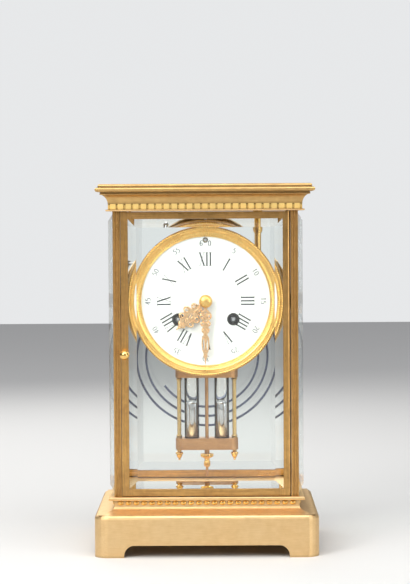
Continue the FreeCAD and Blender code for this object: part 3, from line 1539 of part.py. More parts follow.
def make_pendulum_rod(pivot, nut_top):
    """The centre rod, from the block slotted for the spring down to its thin end below the nut."""
    y = pendulum_plane
    block_top = pivot - rod_block_top
    block_bottom = block_top - rod_block_height
    half = rod_block_width / 2
    deep = rod_block_depth / 2
    block = box((-half, y - deep, block_bottom), (half, y + deep, block_top))
    slot_bottom = pivot - spring_reach - 0.7
    slot_half = rod_slot / 2
    slot = box(
        (-slot_half, y - rod_block_depth, slot_bottom), (slot_half, y + rod_block_depth, block_top + 1))
    thin_top = nut_top - rating_nut_height - rating_knob_gap - rating_knob_height
    rod = bar_upright(rod_radius, thin_top, block_bottom + 0.5, 0, y)
    tip = bar_upright(rod_radius * 0.75, thin_top - rod_tip_length, thin_top + 1, 0, y)
    save("pendulum_rod", [fused([block, rod, tip]).cut(slot)])


def make_side_rods(tray_top, upper_top):
    """The two outer rods, each with a collar on the lower tray and a finial below it."""
    y = pendulum_plane
    rods = []
    finials = []
    top = tray_bottom
    bottom = top - finial_length
    bore = side_rod_radius + finial_fit
    bore_end = top - finial_bore
    for side in (-1, 1):
        x = side * side_rod_spacing / 2
        rods.append(fused([
            bar_upright(side_rod_radius, bore_end + 0.3, upper_top + rod_end_height, x, y),
            bar_upright(collar_radius, tray_top, tray_top + collar_height, x, y)]))
        finials.append(turned_upright([
            (bore, top), (finial_radius * 0.75, top), (finial_radius * 0.7, top - 1.2),
            (finial_radius, top - 0.32 * finial_length), (finial_radius * 0.85, top - 0.6 * finial_length),
            (0.5, bottom), (0.0, bottom), (0.0, bore_end), (bore, bore_end)], x, y))
    save("pendulum_side_rods", rods)
    save("pendulum_finials", finials)


def make_jars(base, jar_top):
    """The two glass jars between the trays, and the mercury in them."""
    jars = []
    mercury = []
    inside = jar_radius - jar_wall
    floor = base + jar_floor
    for side in (-1, 1):
        x = side * jar_spacing / 2
        jar = bar_upright(jar_radius, base, jar_top, x, pendulum_plane)
        jars.append(jar.cut(bar_upright(inside, floor, jar_top + 1, x, pendulum_plane)))
        mercury.append(bar_upright(inside - fit_gap, floor, floor + mercury_height, x, pendulum_plane))
    save("mercury_jars", jars)
    save("mercury", mercury)


def make_rating_nut(nut_top):
    """The nut under the lower tray that sets the rate, with its locking knob."""
    nut_bottom = nut_top - rating_nut_height
    knob_top = nut_bottom - rating_knob_gap
    knob_bottom = knob_top - rating_knob_height
    edge = 0.4
    bore = hole_radius(rod_radius, running_fit, round_sides) + fit_gap
    save("rating_nut", [turned_upright([
        (bore, nut_top), (rating_nut_radius - edge, nut_top), (rating_nut_radius, nut_top - edge),
        (rating_nut_radius, nut_bottom + edge), (rating_nut_radius - edge, nut_bottom),
        (neck_radius, nut_bottom), (neck_radius, knob_top), (rating_knob_radius, knob_top - 2 * edge),
        (rating_knob_radius, knob_bottom + 2 * edge), (rating_knob_radius - 2 * edge, knob_bottom),
        (bore, knob_bottom)], 0, pendulum_plane)])


def wire_gap(path, step=1.0):
    """The least gap between stretches of the wire that lie more than a quarter turn apart."""
    points = path.discretize(int(path.Length / step))
    apart = int(gong_radius / step)
    least = min(
        points[i].distanceToPoint(points[j])
        for i in range(len(points)) for j in range(i + apart, len(points)))
    return least - gong_wire_width


def make_gong():
    """The post that hangs from the ceiling plate, and the flat coil of steel that it holds."""
    turn = math.radians(gong_angle)
    along = FreeCAD.Vector(math.sin(turn), 0, -math.cos(turn))
    block = dial_plane_solid(
        [ring_outline((gong_x, gong_block_height - dial_height), gong_block_radius, round_sides)],
        gong_plane - gong_block_width / 2, gong_plane + gong_block_width / 2)
    flat_centre = FreeCAD.Vector(gong_x, gong_plane, gong_block_height) + along * gong_flat
    cutter_size = 4 * gong_block_radius
    trim = Part.makeBox(
        cutter_size, cutter_size, cutter_size, FreeCAD.Vector(-cutter_size / 2, -cutter_size / 2, 0))
    trim.Placement = FreeCAD.Placement(flat_centre, FreeCAD.Rotation(FreeCAD.Vector(0, 0, 1), along))
    stud_bottom = ceiling_bottom - gong_stud_length
    save("gong_post", [fused([
        bar_upright(gong_stud_radius, stud_bottom, ceiling_bottom, gong_x, gong_plane),
        bar_upright(gong_post_radius, gong_block_height, stud_bottom + 1, gong_x, gong_plane),
        pin_upright(small_screw_radius, ceiling_bottom - 1, band_bottom + 2, gong_x, gong_plane),
        block.cut(trim)])])
    start_x, start_z = gong_start()
    start = FreeCAD.Vector(start_x, gong_plane, dial_height + start_z)
    out = FreeCAD.Vector(math.cos(turn), 0, math.sin(turn))
    edges = [line(flat_centre, start)]
    here = start
    radius = gong_radius
    side = 1
    for number in range(gong_half_turns):
        centre = here - out * (side * radius)
        there = centre - out * (side * radius)
        edges.append(arc(here, centre + along * (side * radius), there))
        here = there
        side = -side
        radius -= gong_pitch / 2
    path = Part.Wire(edges)
    across = FreeCAD.Vector(0, 1, 0)
    corners = [
        flat_centre + out * (a * gong_wire_width / 2) + across * (b * gong_wire_depth / 2)
        for a, b in ((1, 1), (-1, 1), (-1, -1), (1, -1), (1, 1))]
    coil = path.makePipeShell([Part.makePolygon(corners)], True, False)
    print("gong: least gap between turns, measured on points:", round(wire_gap(path), 2), "mm")
    print("gong: volume over section times length:", round(
        coil.Volume / (gong_wire_width * gong_wire_depth * path.Length), 4))
    save("gong_coil", [coil])


def main():
    os.makedirs("parts", exist_ok=True)
    make_plinth()
    make_dentil_band()
    make_plates()
    make_posts()
    make_side_glasses()
    make_doors()
    make_cornice()
    make_movement_frame()
    make_dial()
    make_hands()
    make_motion_work()
    make_going_train()
    make_clicks()
    make_strike_train()
    make_suspension()
    make_pendulum()
    make_gong()


main()
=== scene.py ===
"""The looks of the crystal regulator clock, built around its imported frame.

Lengths are in metres and MM is one millimetre. +Z is up and the dial faces -Y.
Angles about the dial's axis are in degrees, clockwise from the front.
"""

import math

import bmesh
import bpy
from mathutils import Matrix, Vector


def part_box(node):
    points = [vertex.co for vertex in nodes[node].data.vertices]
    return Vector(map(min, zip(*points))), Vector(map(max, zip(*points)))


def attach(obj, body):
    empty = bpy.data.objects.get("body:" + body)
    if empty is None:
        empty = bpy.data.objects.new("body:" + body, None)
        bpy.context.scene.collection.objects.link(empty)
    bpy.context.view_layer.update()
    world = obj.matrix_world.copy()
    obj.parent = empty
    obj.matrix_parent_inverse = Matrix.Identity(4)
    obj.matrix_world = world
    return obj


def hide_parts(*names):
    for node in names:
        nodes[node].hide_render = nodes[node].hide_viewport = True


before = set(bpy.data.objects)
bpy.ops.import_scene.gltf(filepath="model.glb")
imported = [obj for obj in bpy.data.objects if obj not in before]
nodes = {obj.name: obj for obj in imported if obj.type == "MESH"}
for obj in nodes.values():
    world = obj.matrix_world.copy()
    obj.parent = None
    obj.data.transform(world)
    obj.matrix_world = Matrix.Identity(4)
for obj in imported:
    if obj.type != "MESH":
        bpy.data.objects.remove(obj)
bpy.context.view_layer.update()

MM = 0.001

# Places read from the frame
dial_low, dial_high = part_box("dial")
dial_centre = (dial_low + dial_high) / 2
dial_face = dial_low.y


# Camera, floor and light

camera_place = (8.1 * MM, -1443 * MM, 241.3 * MM)
camera_yaw = math.radians(0.35)
camera_pitch = math.radians(2.2)
camera_roll = math.radians(-0.35)
camera_lens = 120.2
floor_colour = (0.66, 0.66, 0.65, 1)
backdrop_colour = (0.80, 0.81, 0.82, 1)
sky_strength = 0.7
sky_colours = (
    (0.0, (0.30, 0.28, 0.26, 1)), (0.46, (0.20, 0.19, 0.18, 1)), (0.54, (0.10, 0.10, 0.10, 1)),
    (0.68, (0.34, 0.34, 0.35, 1)), (1.0, (0.95, 0.96, 1.0, 1)))


def make_camera():
    camera = bpy.data.objects.new("camera", bpy.data.cameras.new("camera"))
    bpy.context.scene.collection.objects.link(camera)
    camera.data.lens = camera_lens
    camera.data.sensor_width = 36
    camera.data.clip_start = 0.05
    camera.location = camera_place
    turn = Matrix.Rotation(camera_yaw, 4, "Z") @ Matrix.Rotation(math.pi / 2 - camera_pitch, 4, "X")
    camera.rotation_euler = (turn @ Matrix.Rotation(camera_roll, 4, "Z")).to_euler()
    bpy.context.scene.camera = camera


def make_lamp(name, place, target, size, power, colour=(1, 1, 1)):
    lamp = bpy.data.objects.new(name, bpy.data.lights.new(name, "AREA"))
    bpy.context.scene.collection.objects.link(lamp)
    lamp.data.shape = "RECTANGLE"
    lamp.data.size, lamp.data.size_y = size
    lamp.data.energy = power
    lamp.data.color = colour
    lamp.location = place
    lamp.rotation_euler = (Vector(target) - Vector(place)).to_track_quat("-Z", "Y").to_euler()


def make_world():
    """A pale backdrop for the eye; what lights the clock is bright above and dim round the horizon."""
    world = bpy.data.worlds.new("studio")
    bpy.context.scene.world = world
    world.use_nodes = True
    tree = world.node_tree
    tree.nodes.clear()
    out = tree.nodes.new("ShaderNodeOutputWorld")
    seen = tree.nodes.new("ShaderNodeBackground")
    seen.inputs["Color"].default_value = backdrop_colour
    seen.inputs["Strength"].default_value = 1.0
    lit = tree.nodes.new("ShaderNodeBackground")
    lit.inputs["Strength"].default_value = sky_strength
    ramp = tree.nodes.new("ShaderNodeValToRGB")
    for element, (height, colour) in zip(ramp.color_ramp.elements, sky_colours[::len(sky_colours) - 1]):
        element.position = height
        element.color = colour
    for height, colour in sky_colours[1:-1]:
        ramp.color_ramp.elements.new(height).color = colour
    place = tree.nodes.new("ShaderNodeTexCoord")
    split = tree.nodes.new("ShaderNodeSeparateXYZ")
    height = tree.nodes.new("ShaderNodeMapRange")
    height.inputs[1].default_value = -1.0
    height.inputs[2].default_value = 1.0
    tree.links.new(place.outputs["Generated"], split.inputs[0])
    tree.links.new(split.outputs["Z"], height.inputs[0])
    tree.links.new(height.outputs[0], ramp.inputs["Fac"])
    tree.links.new(ramp.outputs["Color"], lit.inputs["Color"])
    path = tree.nodes.new("ShaderNodeLightPath")
    mix = tree.nodes.new("ShaderNodeMixShader")
    either = tree.nodes.new("ShaderNodeMath")
    either.operation = "MAXIMUM"
    tree.links.new(path.outputs["Is Camera Ray"], either.inputs[0])
    tree.links.new(path.outputs["Is Transmission Ray"], either.inputs[1])
    tree.links.new(either.outputs[0], mix.inputs["Fac"])
    tree.links.new(lit.outputs[0], mix.inputs[1])
    tree.links.new(seen.outputs[0], mix.inputs[2])
    tree.links.new(mix.outputs[0], out.inputs["Surface"])


def make_floor():
    size = 3.0
    mesh = bpy.data.meshes.new("floor")
    corners = [(-size, -size, 0), (size, -size, 0), (size, size, 0), (-size, size, 0)]
    mesh.from_pydata(corners, [], [(0, 1, 2, 3)])
    floor = bpy.data.objects.new("floor", mesh)
    bpy.context.scene.collection.objects.link(floor)
    paint = Paint("floor_paper")
    paint.set(base_color=floor_colour, roughness=0.85, metallic=0)
    mesh.materials.append(paint.material)


def make_lights():
    """A soft key from the upper left, a fill from the right, a wide top light and a low light behind."""
    make_lamp("key", (-0.95, -1.25, 0.95), (0, 0, 0.14), (0.7, 0.8), 15, (1.0, 0.97, 0.93))
    make_lamp("fill", (1.25, -0.95, 0.40), (0, 0, 0.13), (0.5, 1.0), 6, (0.95, 0.98, 1.0))
    make_lamp("top", (0.0, -0.6, 1.15), (0, 0, 0.05), (1.6, 1.1), 15)
    make_lamp("back", (-0.35, 0.95, 0.75), (0, 0, 0.15), (0.9, 0.5), 5, (1.0, 0.98, 0.95))


# Materials

def plug(tree, value, socket):
    """A link to the socket when the value comes from another socket, and else the plain value."""
    if isinstance(value, bpy.types.NodeSocket):
        tree.links.new(value, socket)
    else:
        socket.default_value = value


class Paint:
    """A material with one Principled shader, and short ways to add texture nodes to it."""

    def __init__(self, name):
        self.material = bpy.data.materials.new(name)
        self.material.use_nodes = True
        self.tree = self.material.node_tree
        self.tree.nodes.clear()
        self.out = self.tree.nodes.new("ShaderNodeOutputMaterial")
        self.shader = self.tree.nodes.new("ShaderNodeBsdfPrincipled")
        self.tree.links.new(self.shader.outputs[0], self.out.inputs["Surface"])
        self.place = None

    def set(self, **values):
        for name, value in values.items():
            name = name.replace("_", " ").title().replace("Ior", "IOR")
            self.shader.inputs[name].default_value = value

    def node(self, kind, **inputs):
        made = self.tree.nodes.new("ShaderNode" + kind)
        for name, value in inputs.items():
            plug(self.tree, value, made.inputs[name.replace("_", " ").title()])
        return made

    def coordinates(self, stretch=(1, 1, 1)):
        """The object's own coordinates, stretched per axis."""
        if self.place is None:
            self.place = self.tree.nodes.new("ShaderNodeTexCoord").outputs["Object"]
        return self.node("Mapping", Vector=self.place, Scale=stretch).outputs[0]

    def noise(self, size, stretch=(1, 1, 1), detail=3.0, roughness=0.55):
        """A noise whose blotches are about one size across, from 0 to 1."""
        made = self.node(
            "TexNoise", Vector=self.coordinates(stretch), Scale=1 / size, Detail=detail, Roughness=roughness)
        return made.outputs[0]

    def spread(self, value, low, high, from_low=0.3, from_high=0.7):
        """A value moved from one range to another."""
        made = self.node("MapRange", Value=value)
        made.inputs[1].default_value = from_low
        made.inputs[2].default_value = from_high
        made.inputs[3].default_value = low
        made.inputs[4].default_value = high
        return made.outputs[0]

    def blend(self, share, first, second):
        """A mix of two colours, each a colour or a socket."""
        made = self.tree.nodes.new("ShaderNodeMix")
        made.data_type = "RGBA"
        for index, value in ((0, share), (6, first), (7, second)):
            plug(self.tree, value, made.inputs[index])
        return made.outputs[2]

    def math(self, operation, *values):
        """The result of an operation on one or two values."""
        made = self.tree.nodes.new("ShaderNodeMath")
        made.operation = operation
        for value, socket in zip(values, made.inputs):
            plug(self.tree, value, socket)
        return made.outputs[0]

    def use(self, name, socket):
        self.tree.links.new(socket, self.shader.inputs[name])

    def bump(self, height, depth, strength=1.0, normal=None):
        made = self.node("Bump", Height=height, Distance=depth, Strength=strength)
        if normal is not None:
            self.tree.links.new(normal, made.inputs["Normal"])
        return made.outputs[0]

    def across_rails(self, upright, level, stile):
        """The upright grain beyond a distance from the middle, on the stiles, and else the level one."""
        split = self.node("SeparateXYZ", Vector=self.coordinates())
        outside = self.math("GREATER_THAN", self.math("ABSOLUTE", split.outputs["X"]), stile)
        made = self.tree.nodes.new("ShaderNodeMix")
        made.data_type = "FLOAT"
        for index, value in ((0, outside), (2, level), (3, upright)):
            self.tree.links.new(value, made.inputs[index])
        return made.outputs[0]

    def two_shaders(self, share, first, second):
        """A mix of two shaders goes to the surface in place of the Principled one."""
        mix = self.tree.nodes.new("ShaderNodeMixShader")
        self.tree.links.new(share, mix.inputs["Fac"])
        self.tree.links.new(first, mix.inputs[1])
        self.tree.links.new(second, mix.inputs[2])
        self.tree.links.new(mix.outputs[0], self.out.inputs["Surface"])


# Dark brown painted into hollows and gaps: painted shade, with some dirt.
shade_and_grime_colour = (0.13, 0.065, 0.02, 1)


def brass(
        name, colour, dark, roughness, streak, streak_size, patch_size, depth, edge=0.25 * MM,
        tarnished=0.45, lined=0.2, hollow_shade_and_grime=0.8, reach=3 * MM, stile=None, chased=None):
    """Lacquered metal: brushing, cloudy tarnish, painted shade and dirt in the hollows, and softened edges.
    """
    paint = Paint(name)
    paint.set(metallic=1.0)
    clouds = paint.noise(patch_size, detail=4.0, roughness=0.6)
    specks = paint.noise(patch_size / 9, detail=2.0)
    lines = paint.noise(streak_size, stretch=streak, detail=2.0)
    if stile is not None:
        level = paint.noise(streak_size, stretch=(streak[2], 1, 1), detail=2.0)
        lines = paint.across_rails(lines, level, stile)
    tarnish = paint.math("MULTIPLY", clouds, paint.spread(specks, 0.6, 1.0))
    share = paint.spread(tarnish, 0.0, tarnished, 0.28, 0.62)
    mellow = paint.blend(share, colour, dark)
    worn = paint.blend(paint.spread(lines, 0.0, lined), mellow, dark)
    # Painted shade: ambient occlusion darkens the colour towards a dark brown in hollows, gaps and under
    # overhangs, with some dirt.
    hollows = paint.tree.nodes.new("ShaderNodeAmbientOcclusion")
    hollows.samples = 6
    hollows.inputs["Distance"].default_value = reach
    shade_and_grime_share = paint.spread(hollows.outputs["AO"], hollow_shade_and_grime, 0.0, 0.25, 0.8)
    paint.use("Base Color", paint.blend(shade_and_grime_share, worn, shade_and_grime_colour))
    streaked = paint.spread(lines, roughness, roughness + 0.12)
    paint.use("Roughness", paint.math("ADD", paint.spread(clouds, -0.04, 0.12), streaked))
    soft = paint.tree.nodes.new("ShaderNodeBevel")
    soft.samples = 4
    soft.inputs["Radius"].default_value = edge
    normal = paint.bump(lines, depth, 0.35, soft.outputs[0])
    if chased is not None:
        normal = paint.bump(paint.noise(chased, detail=1.0), chased / 3, 0.8, normal)
    paint.use("Normal", normal)
    return paint.material


def make_metals():
    """The brasses and steels of the clock, each with its own grain."""
    made = {}
    made["case"] = brass(
        "case_brass", (0.88, 0.63, 0.33, 1), (0.66, 0.42, 0.18, 1), 0.36,
        (0.05, 1, 1), 0.5 * MM, 45 * MM, 0.04 * MM, tarnished=0.4, lined=0.25)
    # A darker copy of the case brass: shade painted in where the cornice's mouldings fall in shadow.
    made["cornice"] = brass(
        "shaded_cornice_brass", (0.66, 0.43, 0.17, 1), (0.36, 0.21, 0.08, 1), 0.30,
        (0.04, 1, 1), 0.5 * MM, 40 * MM, 0.04 * MM, tarnished=0.5, lined=0.3)
    made["dentils"] = brass(
        "dentil_gilt", (1.0, 0.74, 0.28, 1), (0.80, 0.52, 0.16, 1), 0.42,
        (1, 1, 1), 0.5 * MM, 20 * MM, 0.03 * MM, 0.3 * MM, tarnished=0.3, hollow_shade_and_grime=1.0, reach=1.2 * MM)
    made["door"] = brass(
        "door_brass", (0.82, 0.48, 0.16, 1), (0.34, 0.18, 0.07, 1), 0.25,
        (1, 1, 0.025), 0.6 * MM, 30 * MM, 0.04 * MM, tarnished=0.5, lined=0.6, stile=52.6 * MM)
    made["gilt"] = brass(
        "gilt", (0.92, 0.60, 0.20, 1), (0.68, 0.36, 0.09, 1), 0.18,
        (1, 1, 1), 0.3 * MM, 14 * MM, 0.02 * MM, 0.08 * MM,
        tarnished=0.35, lined=0.2, hollow_shade_and_grime=1.0, reach=1.3 * MM)
    made["hands"] = brass(
        "hand_gilt", (0.98, 0.68, 0.40, 1), (0.60, 0.30, 0.14, 1), 0.12,
        (1, 1, 1), 0.3 * MM, 3 * MM, 0.02 * MM, 0.06 * MM,
        tarnished=0.6, lined=0.2, hollow_shade_and_grime=0.9, reach=1.0 * MM, chased=1.1 * MM)
    made["movement"] = brass(
        "movement_brass", (0.78, 0.55, 0.24, 1), (0.48, 0.31, 0.13, 1), 0.24,
        (1, 1, 0.08), 0.3 * MM, 12 * MM, 0.02 * MM, 0.1 * MM)
    made["pendulum"] = brass(
        "pendulum_brass", (0.68, 0.37, 0.16, 1), (0.34, 0.16, 0.07, 1), 0.26,
        (0.05, 1, 1), 0.4 * MM, 10 * MM, 0.03 * MM, 0.15 * MM, tarnished=0.6, lined=0.35)
    made["steel"] = brass(
        "steel", (0.58, 0.59, 0.61, 1), (0.34, 0.34, 0.36, 1), 0.24,
        (1, 1, 0.1), 0.3 * MM, 8 * MM, 0.02 * MM, 0.1 * MM)
    made["blued"] = brass(
        "gong_steel", (0.16, 0.18, 0.26, 1), (0.09, 0.08, 0.10, 1), 0.22,
        (0.1, 1, 1), 0.3 * MM, 8 * MM, 0.02 * MM, 0.1 * MM)
    return made


def make_glass(name, tint, ripple, alpha=1.0):
    """Old plate glass: clear, faintly green through its thickness and not quite flat."""
    paint = Paint(name)
    paint.set(base_color=tint, roughness=0.0, metallic=0.0, ior=1.5, transmission_weight=1.0, alpha=alpha)
    waves = paint.noise(26 * MM, detail=1.0)
    smears = paint.noise(9 * MM, stretch=(1, 1, 0.4), detail=4.0)
    paint.use("Roughness", paint.spread(smears, 0.0, 0.018, 0.45, 0.75))
    paint.use("Normal", paint.bump(waves, ripple, 0.4))
    clear = paint.tree.nodes.new("ShaderNodeBsdfTransparent")
    clear.inputs["Color"].default_value = (0.93, 0.96, 0.94, 1)
    path = paint.tree.nodes.new("ShaderNodeLightPath")
    paint.two_shaders(path.outputs["Is Shadow Ray"], paint.shader.outputs[0], clear.outputs[0])
    body = paint.tree.nodes.new("ShaderNodeVolumeAbsorption")
    body.inputs["Color"].default_value = (0.45, 0.85, 0.68, 1)
    body.inputs["Density"].default_value = 1.6
    paint.tree.links.new(body.outputs[0], paint.out.inputs["Volume"])
    return paint.material


def make_enamel():
    """White vitreous enamel: glossy, a little uneven, with a few grey specks."""
    paint = Paint("enamel")
    paint.set(metallic=0.0, roughness=0.10, ior=1.52, coat_weight=0.5, coat_roughness=0.04)
    clouds = paint.noise(14 * MM, detail=3.0)
    specks = paint.noise(0.5 * MM, detail=1.0)
    white = paint.blend(paint.spread(clouds, 0.0, 1.0), (0.90, 0.90, 0.885, 1), (0.85, 0.855, 0.85, 1))
    speckled = paint.spread(specks, 0.0, 0.5, 0.74, 0.86)
    paint.use("Base Color", paint.blend(speckled, white, (0.45, 0.43, 0.40, 1)))
    paint.use("Roughness", paint.spread(clouds, 0.08, 0.16))
    paint.use("Normal", paint.bump(paint.noise(3 * MM, detail=2.0), 0.02 * MM, 0.25))
    return paint.material


def make_ink(name, colour, worn):
    """Fired black paint of the numerals, thin in places."""
    paint = Paint(name)
    paint.set(metallic=0.0, roughness=0.35)
    wear = paint.noise(0.9 * MM, detail=3.0)
    paint.use("Base Color", paint.blend(paint.spread(wear, 0.0, 0.6, 0.45, 0.8), colour, worn))
    paint.use("Roughness", paint.spread(wear, 0.25, 0.45))
    return paint.material


def make_mercury():
    """Mercury behind glass: a dark bright mirror with a faint skin."""
    paint = Paint("mercury")
    paint.set(metallic=1.0, roughness=0.06)
    skin = paint.noise(2.5 * MM, stretch=(1, 1, 0.25), detail=3.0)
    skinned = paint.spread(skin, 0.0, 1.0)
    paint.use("Base Color", paint.blend(skinned, (0.70, 0.70, 0.71, 1), (0.50, 0.49, 0.49, 1)))
    paint.use("Roughness", paint.spread(skin, 0.04, 0.14))
    return paint.material


# Shapes

class Shape:
    """Points and faces gathered from several simple forms, made into one piece at the end."""

    def __init__(self):
        self.points = []
        self.faces = []

    def add(self, points, faces):
        start = len(self.points)
        self.points += [tuple(point) for point in points]
        self.faces += [tuple(start + index for index in face) for face in faces]

    def grid(self, rings, close_rings=False, close_ends=False):
        """Faces between rings of points. A ring closes on itself; the rings may close too."""
        around = len(rings[0])
        points = [point for ring in rings for point in ring]
        faces = []
        spans = len(rings) if close_rings else len(rings) - 1
        for row in range(spans):
            after_row = (row + 1) % len(rings)
            for column in range(around):
                after = (column + 1) % around
                faces.append((
                    row * around + column, row * around + after,
                    after_row * around + after, after_row * around + column))
        if close_ends:
            faces.append(tuple(reversed(range(around))))
            faces.append(tuple((len(rings) - 1) * around + index for index in range(around)))
        self.add(points, faces)

    def revolve(self, profile, centre, axis, segments=64, closed=False):
        """A profile of (radius, distance) turned about an axis through a centre."""
        rings = []
        for radius, distance in profile:
            ring = []
            for number in range(segments):
                turn = 2 * math.pi * number / segments
                ring.append(axis_point(centre, axis, radius, turn, distance))
            rings.append(ring)
        self.grid(rings, close_rings=closed)

    def piece(self, name, material, body, slot, smooth=35, replaces=()):
        """The finished piece, which rides on a body of the clock."""
        mesh = bpy.data.meshes.new(name)
        mesh.from_pydata(self.points, [], self.faces)
        work = bmesh.new()
        work.from_mesh(mesh)
        bmesh.ops.remove_doubles(work, verts=work.verts, dist=0.0004 * MM)
        bmesh.ops.dissolve_degenerate(work, edges=work.edges, dist=0.0002 * MM)
        bmesh.ops.recalc_face_normals(work, faces=work.faces)
        work.to_mesh(mesh)
        work.free()
        return finish_piece(mesh, name, material, body, smooth, replaces)


def finish_piece(mesh, name, material, body, smooth, replaces):
    """A mesh in the scene as a visible piece, shaded smooth up to an angle in degrees."""
    mesh.materials.clear()
    mesh.materials.append(material)
    if smooth:
        mesh.shade_smooth()
        mesh.set_sharp_from_angle(angle=math.radians(smooth))
    piece = bpy.data.objects.new(name, mesh)
    bpy.context.scene.collection.objects.link(piece)
    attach(piece, body)
    if replaces:
        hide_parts(*replaces)
    return piece


def axis_point(centre, axis, radius, turn, distance):
    """A point at a radius and turn about an axis, and a distance along it."""
    across = radius * math.sin(turn)
    up = radius * math.cos(turn)
    if axis == "Y":
        return (centre[0] + across, centre[1] + distance, centre[2] + up)
    if axis == "X":
        return (centre[0] + distance, centre[1] + across, centre[2] + up)
    return (centre[0] + across, centre[1] + up, centre[2] + distance)


def clock_point(radius, angle, y):
    """A point in a plane parallel to the dial, at a clockwise angle from 12 o'clock."""
    turn = math.radians(angle)
    return (dial_centre.x + radius * math.sin(turn), y, dial_centre.z + radius * math.cos(turn))


def arc_profile(centre_r, centre_t, radius, start, end, steps):
    """Points of an arc in a profile: angles in degrees from the outward direction."""
    points = []
    for step in range(steps + 1):
        turn = math.radians(start + (end - start) * step / steps)
        points.append((centre_r + radius * math.cos(turn), centre_t + radius * math.sin(turn)))
    return points


def cut_sheet(name, outlines, y_front, thickness, bevel=0.0, steps=2):
    """A flat sheet in the dial's plane, cut to closed outlines of (x, z) points, as a mesh."""
    curve = bpy.data.curves.new(name, "CURVE")
    curve.dimensions = "2D"
    curve.fill_mode = "BOTH"
    for outline in outlines:
        spline = curve.splines.new("POLY")
        spline.points.add(len(outline) - 1)
        for point, (x, z) in zip(spline.points, outline):
            point.co = (x, z, 0, 1)
        spline.use_cyclic_u = True
    curve.extrude = thickness / 2 - bevel
    curve.bevel_depth = bevel
    curve.bevel_resolution = steps
    curve.offset = -bevel
    holder = bpy.data.objects.new(name, curve)
    mesh = bpy.data.meshes.new_from_object(holder)
    bpy.data.objects.remove(holder)
    bpy.data.curves.remove(curve)
    lay = Matrix.Translation((dial_centre.x, y_front + thickness / 2, dial_centre.z))
    mesh.transform(lay @ Matrix.Rotation(math.pi / 2, 4, "X"))
    mesh.update()
    return mesh


def smooth_outline(points, steps=6, closed=True):
    """A Catmull-Rom curve through points, as a denser outline."""
    count = len(points)
    made = []
    last = count if closed else count - 1
    for index in range(last):
        p0, p1, p2, p3 = (points[(index + shift) % count] for shift in (-1, 0, 1, 2))
        if not closed:
            p0 = points[max(index - 1, 0)]
            p3 = points[min(index + 2, count - 1)]
        for step in range(steps):
            t = step / steps
            made.append(tuple(
                0.5 * (2 * b + (c - a) * t + (2 * a - 5 * b + 4 * c - d) * t * t
                       + (3 * b - a - 3 * c + d) * t ** 3)
                for a, b, c, d in zip(p0, p1, p2, p3)))
    if not closed:
        made.append(points[-1])
    return made


# Carried-over pieces

kept_finishes = {
    "case": ("plinth", "floor_plate", "ceiling_plate"),
    "cornice": ("cornice",),
    "dentils": ("cornice_dentil_band",),
    "door": ("corner_posts", "front_door_frame", "rear_door_frame", "front_door_catch", "rear_door_catch"),
    "gilt": ("bezel", "hour_hand", "minute_hand", "hand_nut", "pendulum_finials"),
    "steel": (
        "screws", "hinge_pins", "going_winding_arbor", "strike_winding_arbor", "regulator_arbor", "anchor",
        "suspension_spring", "gong_post", "hammer", "going_click", "strike_click"),
    "blued": ("gong_coil",),
    "movement": (
        "movement_rails", "movement_brackets", "front_plate", "back_plate", "plate_pillars", "dial_pan",
        "suspension_cock", "centre_wheel", "cannon_pinion", "hour_wheel", "minute_wheel", "going_barrel",
        "going_second_wheel", "third_wheel", "escape_wheel", "strike_barrel", "strike_second_wheel",
        "strike_pin_wheel", "strike_fly"),
    "pendulum": (
        "pendulum_rod", "pendulum_upper_tray", "pendulum_lower_tray", "pendulum_side_rods", "rating_nut"),
    "glass": ("front_door_glass", "rear_door_glass"),
    "side_glass": ("side_glass_left", "side_glass_right"),
    "jar_glass": ("mercury_jars",),
    "enamel": ("dial",),
    "collar": ("winding_hole_collars",),
    "mercury": ("mercury",),
}


def finish_kept_nodes(materials):
    """Every node of the frame gets a material, and curved ones are shaded smooth."""
    flat = {
        "front_door_glass", "rear_door_glass", "side_glass_left", "side_glass_right",
        "cornice_dentil_band"}
    for finish, names in kept_finishes.items():
        for name in names:
            node = nodes[name]
            node.data.materials.clear()
            node.data.materials.append(materials[finish])
            if name not in flat:
                node.data.shade_smooth()
                node.data.set_sharp_from_angle(angle=math.radians(32))


def make_materials():
    materials = make_metals()
    materials["glass"] = make_glass("bevelled_glass", (0.97, 0.99, 0.98, 1), 0.03 * MM)
    materials["side_glass"] = make_glass("side_glass", (0.97, 0.99, 0.98, 1), 0.03 * MM, 0.3)
    materials["jar_glass"] = make_glass("jar_glass", (0.98, 0.99, 0.99, 1), 0.02 * MM)
    materials["enamel"] = make_enamel()
    materials["ink"] = make_ink("numeral_ink", (0.022, 0.024, 0.030, 1), (0.10, 0.10, 0.11, 1))
    materials["pale_ink"] = make_ink("minute_ink", (0.05, 0.065, 0.09, 1), (0.16, 0.18, 0.22, 1))
    materials["collar"] = make_ink("collar_black", (0.020, 0.019, 0.020, 1), (0.07, 0.06, 0.05, 1))
    materials["mercury"] = make_mercury()
    return materials


# Dial, numerals and bezel

numeral_foot = 25.4 * MM
numeral_top = 34.9 * MM
thick_stroke = 0.98 * MM
hair_stroke = 0.26 * MM
serif_half = 0.95 * MM
letter_widths = {"I": 2.5 * MM, "V": 4.4 * MM, "X": 4.6 * MM}
minute_foot = 39.7 * MM
minute_top = 43.4 * MM
minute_stroke = 0.46 * MM
print_height = 0.05 * MM
print_root = 0.03 * MM
roman_numerals = ("I", "II", "III", "IIII", "V", "VI", "VII", "VIII", "IX", "X", "XI", "XII")

